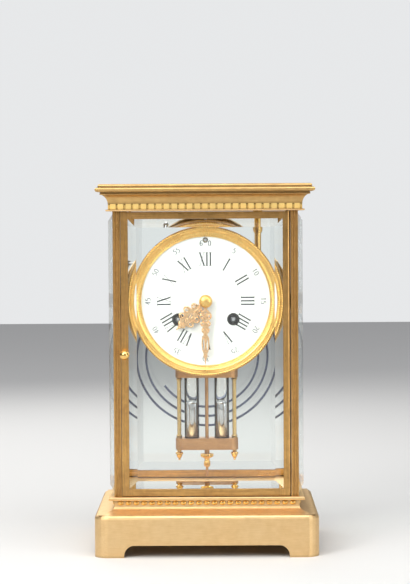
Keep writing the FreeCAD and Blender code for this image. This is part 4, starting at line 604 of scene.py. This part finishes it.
digit_strokes = {
    "0": [[(0.5, 1.0), (0.12, 0.82), (0.03, 0.5), (0.12, 0.18), (0.5, 0.0), (0.88, 0.18), (0.97, 0.5),
           (0.88, 0.82), (0.5, 1.0)]],
    "1": [[(0.22, 0.78), (0.45, 0.86), (0.55, 1.0), (0.55, 0.5), (0.55, 0.0)]],
    "2": [[(0.06, 0.76), (0.16, 0.94), (0.5, 1.0), (0.84, 0.88), (0.84, 0.64), (0.5, 0.34), (0.05, 0.03)],
          [(0.05, 0.03), (0.5, 0.02), (0.95, 0.03)]],
    "3": [[(0.08, 0.86), (0.4, 1.0), (0.8, 0.9), (0.78, 0.64), (0.4, 0.54)],
          [(0.4, 0.54), (0.84, 0.44), (0.9, 0.16), (0.5, 0.0), (0.05, 0.12)]],
    "4": [[(0.72, 0.0), (0.72, 0.5), (0.72, 1.0)], [(0.72, 1.0), (0.38, 0.62), (0.03, 0.28)],
          [(0.03, 0.28), (0.5, 0.27), (1.0, 0.28)]],
    "5": [[(0.88, 0.98), (0.55, 0.97), (0.22, 0.98)], [(0.22, 0.98), (0.18, 0.78), (0.14, 0.56)],
          [(0.14, 0.56), (0.5, 0.64), (0.88, 0.5), (0.9, 0.18), (0.5, 0.0), (0.05, 0.1)]],
    "6": [[(0.85, 0.94), (0.5, 1.0), (0.16, 0.74), (0.06, 0.36), (0.22, 0.06), (0.5, 0.0), (0.84, 0.12),
           (0.9, 0.34), (0.7, 0.54), (0.4, 0.56), (0.1, 0.36)]],
}


def turned(points, angle):
    """Places beside and out along a line from the dial's centre, turned clockwise to an angle."""
    turn = math.radians(angle)
    return [
        (side * math.cos(turn) + out * math.sin(turn), out * math.cos(turn) - side * math.sin(turn))
        for side, out in points]


def heading(points, index):
    """The direction in which a path runs at one of its points."""
    before = Vector(points[max(index - 1, 0)])
    after = Vector(points[min(index + 1, len(points) - 1)])
    return (after - before).normalized()


def ribbon(shape, points, widths, angle):
    """A printed stroke along points in the dial's plane, as a thin closed bar."""
    front = dial_face - print_height
    back = dial_face + print_root
    rings = []
    for index, (side, out) in enumerate(points):
        along = heading(points, index)
        half = widths[index] / 2
        left = (side - along.y * half, out + along.x * half)
        right = (side + along.y * half, out - along.x * half)
        edges = turned([left, right], angle)
        (x1, z1), (x2, z2) = [(x + dial_centre.x, z + dial_centre.z) for x, z in edges]
        rings.append([(x1, front, z1), (x2, front, z2), (x2, back, z2), (x1, back, z1)])
    shape.grid(rings, close_ends=True)


def stroke(shape, start, end, width, angle):
    ribbon(shape, [start, end], [width, width], angle)


def serif(shape, side, out, angle, half=serif_half):
    stroke(shape, (side - half, out), (side + half, out), hair_stroke, angle)


def draw_roman(shape, text, angle):
    """A radial numeral with its foot towards the centre: thick strokes, hairlines and serifs."""
    side = -sum(letter_widths[letter] for letter in text) / 2
    low = numeral_foot
    high = numeral_top
    for letter in text:
        width = letter_widths[letter]
        middle = side + width / 2
        left = side + 0.75 * MM
        right = side + width - 0.75 * MM
        if letter == "I":
            stroke(shape, (middle, low), (middle, high), thick_stroke, angle)
            serif(shape, middle, low, angle)
            serif(shape, middle, high, angle)
        elif letter == "V":
            stroke(shape, (left, high), (middle, low), thick_stroke, angle)
            stroke(shape, (right, high), (middle, low), hair_stroke, angle)
            serif(shape, left, high, angle)
            serif(shape, right, high, angle, serif_half * 0.7)
        else:
            stroke(shape, (left, high), (right, low), thick_stroke, angle)
            stroke(shape, (right, high), (left, low), hair_stroke, angle)
            for place, half in ((left, 1.0), (right, 0.7)):
                serif(shape, place, high, angle, serif_half * half)
                serif(shape, width + 2 * side - place, low, angle, serif_half * half)
        side += width


def draw_minutes(shape, text, angle, gap):
    """Small Arabic figures with their foot towards the centre; a gap may split them."""
    height = minute_top - minute_foot
    width = 0.50 * height
    pitch = width + 0.75 * MM
    start = -(len(text) * pitch - 0.75 * MM + gap) / 2
    for index, digit in enumerate(text):
        left = start + index * (pitch + gap)
        for points in digit_strokes[digit]:
            path = smooth_outline([(left + u * width, minute_foot + v * height) for u, v in points], 4, False)
            steepness = [abs(heading(path, number).y) for number in range(len(path))]
            widths = [minute_stroke * (0.45 + 0.75 * steep) for steep in steepness]
            ribbon(shape, path, widths, angle)


def make_numerals(materials):
    """The hours, the minutes in fives, and the rim of the regulating square's hole."""
    roman = Shape()
    figures = Shape()
    for hour, text in enumerate(roman_numerals, 1):
        draw_roman(roman, text, hour * 30)
        draw_minutes(figures, str(hour * 5), hour * 30, 3.4 * MM if hour == 12 else 0.0)
    roman.piece("hour_numerals", materials["ink"], "case", "collar_black", smooth=0)
    figures.piece("minute_numerals", materials["pale_ink"], "case", "collar_black", smooth=0)
    ring = Shape()
    regulator_low, regulator_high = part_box("regulator_arbor")
    centre = (0.0, dial_face, (regulator_low.z + regulator_high.z) / 2)
    ring.revolve(
        [(1.55 * MM, 0.3 * MM), (1.55 * MM, -0.12 * MM), (1.75 * MM, -0.2 * MM), (1.95 * MM, -0.12 * MM),
         (2.0 * MM, 0.05 * MM)], centre, "Y", 40)
    ring.piece("regulator_hole_rim", materials["collar"], "case", "collar_black")


bezel_teeth = 200
bezel_samples = 6
tooth_depth = 0.85 * MM
sight_radius = 46.25
seat_radius = 53.1
rim_radius = 52.85
rim_round = 1.02


def make_bezel(materials):
    """The gilt bezel: a smooth sight edge, a fluted hollow and a milled outer rim."""
    low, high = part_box("bezel")
    outer = 53.9 * MM
    front = low.y
    sight = dial_face
    rows = [
        (sight_radius, sight + 0.4 * MM, 0), (46.22, sight - 0.7 * MM, 0), (46.45, sight - 1.25 * MM, 0),
        (46.85, sight - 1.35 * MM, 0), (47.2, sight - 1.1 * MM, 0), (47.35, sight - 1.2 * MM, 0.25),
        (47.75, sight - 1.75 * MM, 0.6), (48.3, sight - 1.95 * MM, 0.6), (48.75, sight - 1.75 * MM, 0.25),
        (48.9, sight - 1.85 * MM, 0)]
    hollow = 7
    for step in range(1, hollow + 1):
        share = step / hollow
        rows.append((48.9 + 2.5 * share, sight - (1.85 + 3.1 * share ** 1.7) * MM, 0))
    rows += [(51.75, front + 0.75 * MM, 0), (51.95, front + 0.95 * MM, 0)]
    middle = front + 1.15 * MM
    for step in range(9):
        turn = math.radians(-75 + 165 * step / 8)
        milled = max(0.0, math.sin(math.pi * (step + 0.3) / 9))
        rows.append((rim_radius + rim_round * math.sin(turn), middle - 1.1 * MM * math.cos(turn), milled))
    back = high.y - 0.05 * MM
    rows += [(seat_radius, middle + 1.5 * MM, 0), (seat_radius, back, 0), (sight_radius, back, 0)]
    count = bezel_teeth * bezel_samples
    rings = []
    for radius, y, milled in rows:
        ring = []
        for number in range(count):
            wave = 1 - abs(math.sin(math.pi * number / bezel_samples))
            inset = milled * tooth_depth * wave
            reach = min(radius * MM, outer) - (inset if radius > 50 else 0)
            sink = inset if radius <= 50 else 0.5 * inset
            ring.append(clock_point(reach, 360 * number / count, y + sink))
        rings.append(ring)
    shape = Shape()
    shape.grid(rings, close_rings=True)
    shape.piece("milled_bezel", materials["gilt"], "case", "gilt", smooth=60, replaces=("bezel",))


# Hands

hour_angle = 226.0
minute_angle = 180.5
hand_bevel = 0.12 * MM

hour_edge = (
    (3.4, 1.7), (5.2, 1.4), (6.1, 2.8), (7.1, 5.0), (8.7, 5.6), (10.0, 4.6), (10.7, 3.4), (11.6, 4.5),
    (12.4, 6.9), (14.0, 7.9), (15.7, 6.9), (16.5, 5.2), (17.6, 5.8), (19.0, 7.0), (20.8, 6.4), (22.0, 4.6),
    (22.8, 2.9), (24.3, 3.2), (25.5, 2.3), (27.2, 1.0), (29.7, 0.2))
hour_holes = (
    (8.7, 2.9, 1.4, 1.2), (14.0, 4.7, 1.5, 1.6), (19.5, 3.9, 1.5, 1.6), (9.0, 0.0, 1.6, 0.55),
    (15.0, 0.0, 2.4, 1.1), (20.6, 0.0, 1.5, 0.6), (24.2, 1.2, 0.75, 0.6))
hour_scrolls = (
    (8.7, 3.1, 1.9, 1), (14.0, 4.8, 2.5, 1), (19.4, 4.1, 2.3, -1), (24.2, 1.3, 1.1, -1))
minute_edge = (
    (3.0, 1.7), (5.5, 1.1), (7.0, 2.3), (8.8, 3.9), (10.9, 4.4), (12.8, 3.6), (13.9, 2.4), (15.5, 3.8),
    (17.3, 3.4), (18.6, 2.0), (20.3, 2.9), (22.1, 2.5), (23.4, 1.4), (25.0, 1.8), (26.7, 2.6), (29.5, 2.8),
    (32.5, 2.7), (35.6, 2.2), (38.0, 1.3), (39.5, 1.6), (41.0, 0.9), (43.0, 0.45), (45.3, 0.14))
minute_holes = (
    (10.8, 2.3, 1.3, 1.0), (16.2, 1.9, 0.95, 0.8), (20.9, 1.25, 0.75, 0.55), (8.2, 0.0, 1.2, 0.45),
    (13.6, 0.0, 1.5, 0.5), (31.2, 1.3, 3.9, 0.48))
minute_scrolls = ((10.8, 2.4, 1.7, 1), (16.1, 2.1, 1.3, -1), (21.0, 1.5, 1.0, 1))


def hand_outlines(edge, holes, angle):
    """The outer edge of a hand and its piercings, mirrored about its middle line."""
    right = [(half * MM, out * MM) for out, half in edge]
    left = [(-side, out) for side, out in reversed(right)]
    outlines = [turned(smooth_outline(right + left, 4), angle)]
    for out, side, half_length, half_width in holes:
        for sign in ((1, -1) if side else (1,)):
            ring = []
            for number in range(18):
                turn = 2 * math.pi * number / 18
                across = (sign * side + half_width * math.cos(turn)) * MM
                ring.append((across, (out + half_length * math.sin(turn)) * MM))
            outlines.append(turned(ring, angle))
    return outlines


def tube(shape, path, radii, sides=8):
    """A round bar along a path of points, closed at both ends."""
    rings = []
    for index, place in enumerate(path):
        forward = Vector((0, 1, 0))
        beside = heading(path, index).cross(forward).normalized()
        turns = [2 * math.pi * side / sides for side in range(sides)]
        rings.append([
            Vector(place) + radii[index] * (math.cos(turn) * beside + math.sin(turn) * forward)
            for turn in turns])
    shape.grid(rings, close_ends=True)


def draw_scroll(shape, out, side, radius, way, angle, y):
    """A raised scroll that winds in to a bead, on both sides of a hand."""
    for sign in (1, -1):
        path = []
        radii = []
        steps = 22
        for step in range(steps + 1):
            share = step / steps
            turn = way * sign * (math.radians(-140) + math.radians(500) * share)
            reach = radius * (1 - 0.68 * share)
            across = sign * side * MM + sign * reach * math.cos(turn) * MM
            place = (across, (out + reach * math.sin(turn)) * MM)
            ((x, z),) = turned([place], angle)
            path.append((dial_centre.x + x, y, dial_centre.z + z))
            radii.append((0.38 - 0.12 * share + 0.1 * math.sin(math.pi * share)) * MM)
        tube(shape, path, radii)


def take_mesh(shape, mesh):
    shape.add([vertex.co[:] for vertex in mesh.vertices], [tuple(face.vertices) for face in mesh.polygons])
    bpy.data.meshes.remove(mesh)


def draw_leaf_rib(shape, angle, y, start, end, radius):
    """A raised rib down the middle of a hand, thinner towards its point."""
    path = []
    radii = []
    for step in range(25):
        share = step / 24
        out = start + (end - start) * share
        ((x, z),) = turned([(0.0, out * MM)], angle)
        path.append((dial_centre.x + x, y, dial_centre.z + z))
        radii.append(radius * (1 - 0.55 * share) * (1 + 0.35 * math.cos(share * math.pi * 10)) * MM)
    tube(shape, path, radii)


def make_hands(materials):
    """The two pierced hands with their scrolls, leaf ribs and bored hubs."""
    hour_rib = (5.0, 29.0, 0.42)
    minute_rib = (4.0, 44.6, 0.34)
    for name, edge, holes, scrolls, angle, node, body, hub, bore, rib in (
            ("hour_hand_pierced", hour_edge, hour_holes, hour_scrolls, hour_angle, "hour_hand",
             "hour_work", 4.3, 2.55, hour_rib),
            ("minute_hand_pierced", minute_edge, minute_holes, minute_scrolls, minute_angle, "minute_hand",
             "minute_arbor", 3.3, 1.35, minute_rib)):
        low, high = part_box(node)
        deep = high.y - low.y
        shape = Shape()
        sheet = cut_sheet(name, hand_outlines(edge, holes, angle), low.y, deep, hand_bevel)
        take_mesh(shape, sheet)
        for out, side, radius, way in scrolls:
            draw_scroll(shape, out, side, radius, way, angle, low.y)
        draw_leaf_rib(shape, angle, low.y, *rib)
        shape.revolve(
            [(bore * MM, deep), (bore * MM, -0.15 * MM), ((hub - 0.6) * MM, -0.15 * MM), (hub * MM, 0.1 * MM),
             (hub * MM, deep - 0.1 * MM), ((hub - 0.2) * MM, deep)],
            (dial_centre.x, low.y, dial_centre.z), "Y", 48, closed=True)
        shape.piece(name, materials["hands"], body, "gilt", smooth=50, replaces=(node,))


def make_hand_nut(materials):
    """The domed nut over the hands, with a turned rim and a fine groove."""
    low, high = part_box("hand_nut")
    depth = high.y - low.y
    radius = (high.z - low.z) / 2
    rim = 1.15 * MM
    dome = radius - 0.3 * MM
    profile = [(1.2 * MM, 0.0), (dome, 0.0), (radius, -0.15 * MM), (radius, -0.7 * MM)]
    profile += [(radius - 0.25 * MM, -0.95 * MM), (dome, -rim)]
    for step in range(1, 13):
        turn = math.radians(90 * step / 12)
        profile.append((max(dome * math.cos(turn), 0.0), -rim - (depth - rim) * math.sin(turn)))
    shape = Shape()
    shape.revolve(profile + [(0.0, 0.0)], (dial_centre.x, high.y, dial_centre.z), "Y", 64, closed=True)
    shape.piece(
        "domed_hand_nut", materials["gilt"], "minute_arbor", "gilt", smooth=50, replaces=("hand_nut",))


# Pendulum

side_bar = 1.5 * MM
nut_gap = 0.08 * MM
nut_bore = 1.35 * MM
nut_teeth = 56


def make_pendulum_pieces(materials):
    """Jars, mercury, side rods with their collars, and acorn finials, one of each on either side."""
    jars_low, jars_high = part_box("mercury_jars")
    pool_low, pool_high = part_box("mercury")
    rods_low, rods_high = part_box("pendulum_side_rods")
    finials_low, finials_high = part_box("pendulum_finials")
    y = (jars_low.y + jars_high.y) / 2
    jar = (jars_high.y - jars_low.y) / 2
    jar_x = jars_high.x - jar
    pool = (pool_high.y - pool_low.y) / 2
    jar_profile = jar_outline(
        jar, pool + 0.05 * MM, jars_high.z - jars_low.z, pool_low.z - jars_low.z - 0.02 * MM)
    depth = pool_high.z - pool_low.z
    pool_profile = [
        (0.0, 0.0), (pool - 0.5 * MM, 0.0), (pool, 0.6 * MM), (pool, depth - 1.1 * MM),
        (pool - 0.4 * MM, depth - 0.5 * MM), (pool - 1.3 * MM, depth - 0.15 * MM), (0.0, depth)]
    wide = (finials_high.y - finials_low.y) / 2
    rod_x = finials_high.x - wide
    rod_profile = rod_outline(rods_low.z, rods_high.z, (rods_high.y - rods_low.y) / 2)
    finial_profile = finial_outline(wide, finials_high.z - finials_low.z)
    jars = Shape()
    mercury = Shape()
    rods = Shape()
    finials = Shape()
    for sign in (-1, 1):
        jars.revolve(jar_profile, (sign * jar_x, y, jars_low.z), "Z", 64)
        mercury.revolve(pool_profile, (sign * jar_x, y, pool_low.z), "Z", 64)
        rods.revolve(rod_profile, (sign * rod_x, y, 0.0), "Z", 40)
        finials.revolve(finial_profile, (sign * rod_x, y, finials_low.z), "Z", 40)
    jars.piece(
        "glass_jars", materials["jar_glass"], "pendulum", "glass", smooth=40, replaces=("mercury_jars",))
    mercury.piece(
        "jar_mercury", materials["mercury"], "pendulum", "mercury", smooth=60, replaces=("mercury",))
    rods.piece(
        "side_rods_turned", materials["movement"], "pendulum", "pendulum_brass", smooth=45,
        replaces=("pendulum_side_rods",))
    finials.piece(
        "acorn_finials", materials["gilt"], "pendulum", "gilt", smooth=45, replaces=("pendulum_finials",))


def jar_outline(outer, inner, height, base):
    """Half of an open jar, from the middle of its underside round to the middle of its floor."""
    return [
        (0.0, 0.0), (outer - 0.8 * MM, 0.0), (outer - 0.2 * MM, 0.25 * MM), (outer, 0.9 * MM),
        (outer, height - 0.4 * MM), (outer - 0.2 * MM, height), (inner + 0.15 * MM, height),
        (inner, height - 0.3 * MM), (inner, base + 0.5 * MM), (inner - 0.4 * MM, base), (0.0, base)]


def rod_outline(bottom, top, collar):
    """Half of a side rod, with a collar and a ball beside each tray and a collar under the finial."""
    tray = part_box("pendulum_lower_tray")[1].z
    upper_low, upper_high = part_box("pendulum_upper_tray")
    ball = collar - side_bar
    neck = side_bar * 0.9
    wide = side_bar * 1.3
    profile = [(0.0, bottom), (neck, bottom), (neck, tray - 1 * MM)]
    profile += [(collar, tray - 1 * MM), (collar, tray + 0.4 * MM)]
    profile += arc_profile(side_bar, tray + 1.5 * MM, ball, -80, 80, 8)
    profile += [(side_bar, tray + 3.0 * MM), (side_bar, upper_low.z - 3.0 * MM)]
    profile += arc_profile(side_bar, upper_low.z - 1.5 * MM, ball, -80, 80, 8)
    profile += [(collar, upper_low.z - 0.4 * MM), (collar, upper_low.z + 1 * MM)]
    profile += [(neck, upper_low.z + 1 * MM), (neck, upper_high.z), (wide, upper_high.z)]
    profile += [(wide, top - 0.8 * MM), (neck, top - 0.2 * MM), (0.0, top)]
    return profile


def finial_outline(wide, drop):
    """Half of an acorn finial, from its top down to a small ball at its tip."""
    shares = [
        (0.0, 1.0), (0.72, 1.0), (0.72, 0.90), (0.50, 0.84), (0.50, 0.78), (0.9, 0.72), (1.0, 0.64),
        (0.97, 0.58), (0.80, 0.54)]
    for share in (0.25, 0.5, 0.75, 1.0):
        shares.append((0.80 - 0.42 * share ** 1.6, 0.54 - 0.34 * share))
    shares.append((0.22, 0.17))
    for turn in (50, 20, -10, -40, -70):
        turn = math.radians(turn)
        shares.append((0.34 * math.cos(turn), 0.09 + 0.09 * math.sin(turn)))
    shares.append((0.0, 0.0))
    return [(across * wide, up * drop) for across, up in shares]


def make_rating_nut(materials):
    """The rating nut under the tray: a knurled disc, a waist and a small knurled knob."""
    low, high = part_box("rating_nut")
    y = (low.y + high.y) / 2
    wide = (high.y - low.y) / 2
    count = nut_teeth * 4
    top = high.z - nut_gap
    from_top = [
        (wide - 0.9 * MM, 0.35, 0), (wide - 0.25 * MM, 0.6, 0.4), (wide, 1.1, 1), (wide, 2.3, 1),
        (wide - 0.25 * MM, 2.8, 0.4), (wide - 1.2 * MM, 3.2, 0), (2.2 * MM, 3.9, 0), (1.9 * MM, 5.2, 0),
        (2.1 * MM, 6.2, 0), (2.35 * MM, 6.6, 0.4), (2.4 * MM, 7.2, 0.5)]
    rows = [(nut_bore, top, 0), (1.85 * MM, top, 0), (1.85 * MM, high.z - 0.3 * MM, 0)]
    rows += [(radius, high.z - drop * MM, milled) for radius, drop, milled in from_top]
    rows += [(2.4 * MM, low.z + 1.4 * MM, 0.5), (2.25 * MM, low.z + 0.9 * MM, 0.3)]
    rows += [(1.6 * MM, low.z + 0.1 * MM, 0), (nut_bore, low.z, 0)]
    rings = []
    for radius, z, milled in rows:
        ring = []
        for number in range(count):
            wave = 0.5 - 0.5 * math.cos(2 * math.pi * number / 4)
            reach = radius - milled * 0.25 * MM * wave
            turn = 2 * math.pi * number / count
            ring.append((reach * math.sin(turn), y + reach * math.cos(turn), z))
        rings.append(ring)
    shape = Shape()
    shape.grid(rings, close_rings=True)
    shape.piece(
        "knurled_rating_nut", materials["gilt"], "rating_nut", "pendulum_brass", smooth=50,
        replaces=("rating_nut",))


# Case details

pearl_pitch = 5.6 * MM
pearl_radius = 1.75 * MM
pearl_height = 37.3 * MM
neck_half_x = 66.3 * MM
neck_half_y = 55.3 * MM
pearl_sides = 16
pearl_steps = 6
pearl_root = -0.4 * MM
pearl_rise = 1.15 * MM
pearl_stretch = 1.25
post_rod = 2.45 * MM
post_head = 3.55 * MM
post_pin = 1.6 * MM
post_shoulder = 229.3 * MM
block_height = 9.4 * MM
block_shape = 0.83
knob_x = 57.775 * MM
knob_z = 143.65 * MM
knob_ball = 3.5 * MM
knob_stem = 1.15 * MM
stem_in = 10.0 * MM
door_face = 55.55 * MM
tongue_side = 3.4 * MM
tongue_drop = 3.6 * MM
tongue_near = 43.65 * MM
tongue_far = 45.55 * MM


def make_pearl_band(materials):
    """The row of pearls round the plinth's neck."""
    shape = Shape()
    for half_length, half_depth, axis in ((neck_half_x, neck_half_y, "Y"), (neck_half_y, neck_half_x, "X")):
        count = 2 * int((half_length - 2 * MM) / pearl_pitch) + 1
        for sign in (-1, 1):
            for number in range(count):
                along = (number - (count - 1) / 2) * pearl_pitch
                place = (along, sign * half_depth) if axis == "Y" else (sign * half_depth, along)
                draw_pearl(shape, place, axis, sign)
    shape.piece("plinth_pearls", materials["gilt"], "case", "case_brass", smooth=60)


def draw_pearl(shape, place, axis, sign):
    """A low oval pearl that sits on an upright face."""
    profile = [(pearl_radius, pearl_root)]
    for step in range(pearl_steps + 1):
        turn = math.radians(90 * step / pearl_steps)
        profile.append((pearl_radius * math.cos(turn), pearl_rise * math.sin(turn)))
    rings = []
    for radius, distance in profile:
        ring = []
        for number in range(pearl_sides):
            turn = 2 * math.pi * number / pearl_sides
            across = pearl_stretch * radius * math.sin(turn)
            up = pearl_height + radius * math.cos(turn)
            if axis == "Y":
                ring.append((place[0] + across, place[1] + sign * distance, up))
            else:
                ring.append((place[0] + sign * distance, place[1] + across, up))
        rings.append(ring)
    shape.grid(rings)
    first = len(shape.points) - len(profile) * pearl_sides
    shape.faces.append(tuple(range(first, first + pearl_sides)))


def make_gong_post(materials):
    """The turned post that hangs from the top, and its square block that carries the gong."""
    low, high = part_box("gong_post")
    x = (low.x + high.x) / 2
    y = (low.y + high.y) / 2
    rod = post_rod
    head = post_head
    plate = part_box("ceiling_plate")[0].z
    shoulder = post_shoulder
    block = low.z + block_height
    shape = Shape()
    shape.revolve(
        [(0.0, high.z), (post_pin, high.z), (post_pin, plate), (head, plate), (head, shoulder + 11 * MM),
         (head - 0.35 * MM, shoulder + 10.6 * MM), (head - 0.35 * MM, shoulder + 9.6 * MM),
         (head, shoulder + 9.2 * MM), (head, shoulder + 2.0 * MM), (rod + 0.4 * MM, shoulder),
         (rod, shoulder), (rod, block), (rod + 0.9 * MM, block - 0.3 * MM),
         (rod + 0.9 * MM, block - 1.2 * MM), (0.0, block - 1.2 * MM)],
        (x, y, 0.0), "Z", 48)
    half = (high.x - low.x) / 2
    deep = half * block_shape
    corners = [(-half, -deep), (half, -deep), (half, deep), (-half, deep)]
    rings = []
    for z, inset in (
            (low.z, 0.5), (low.z + 0.5 * MM, 0.0), (block - 1.5 * MM, 0.0), (block - 1.0 * MM, 0.5)):
        ring = []
        for across, along in corners:
            side = x + across - math.copysign(inset * MM, across)
            ring.append((side, y + along - math.copysign(inset * MM, along), z))
        rings.append(ring)
    shape.grid(rings, close_ends=True)
    shape.piece(
        "gong_post_turned", materials["gilt"], "case", "movement_brass", smooth=40, replaces=("gong_post",))


def make_catches(materials):
    """A turned knob on each door, with its escutcheon and stem, and a flat face for its tongue."""
    for node, sign, body in (("front_door_catch", -1, "front_latch"), ("rear_door_catch", 1, "rear_latch")):
        low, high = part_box(node)
        x = sign * knob_x
        tip = low.y if sign < 0 else high.y
        face = sign * door_face
        centre = tip - sign * knob_ball
        profile = [(0.0, 0.0), (knob_stem, 0.0), (knob_stem, stem_in), (2.6 * MM, 10.1 * MM)]
        profile += [(2.6 * MM, 10.5 * MM), (1.5 * MM, 10.9 * MM)]
        start = math.degrees(math.asin(1.45 / 3.5))
        reach = abs(centre) - abs(face) + stem_in
        for step in range(15):
            turn = math.radians(-90 + start + (180 - start) * step / 14)
            profile.append((max(knob_ball * math.cos(turn), 0.0), reach + knob_ball * math.sin(turn)))
        shape = Shape()
        base = face - sign * stem_in
        shape.revolve([(radius, sign * out) for radius, out in profile], (x, base, knob_z), "Y", 48)
        # Both sides of the tongue lie at this one place, so it has no width and shows only edge on.
        side = x + sign * tongue_side
        bottom = knob_z - tongue_drop
        top = knob_z + tongue_side
        near, far = sorted((sign * tongue_near, sign * tongue_far))
        edge = [(side, bottom), (side, bottom), (side, top), (side, top)]
        shape.grid([[(a, near, b) for a, b in edge], [(a, far, b) for a, b in edge]], close_ends=True)
        shape.piece(
            node.replace("catch", "knob"), materials["gilt"], body, "door_brass", smooth=45, replaces=(node,))


makers = (
    make_numerals, make_bezel, make_hands, make_hand_nut, make_pendulum_pieces, make_rating_nut,
    make_pearl_band, make_gong_post, make_catches)


def main():
    bpy.context.scene.view_settings.view_transform = "Standard"
    make_camera()
    make_world()
    make_floor()
    make_lights()
    materials = make_materials()
    finish_kept_nodes(materials)
    for make in makers:
        make(materials)


main()
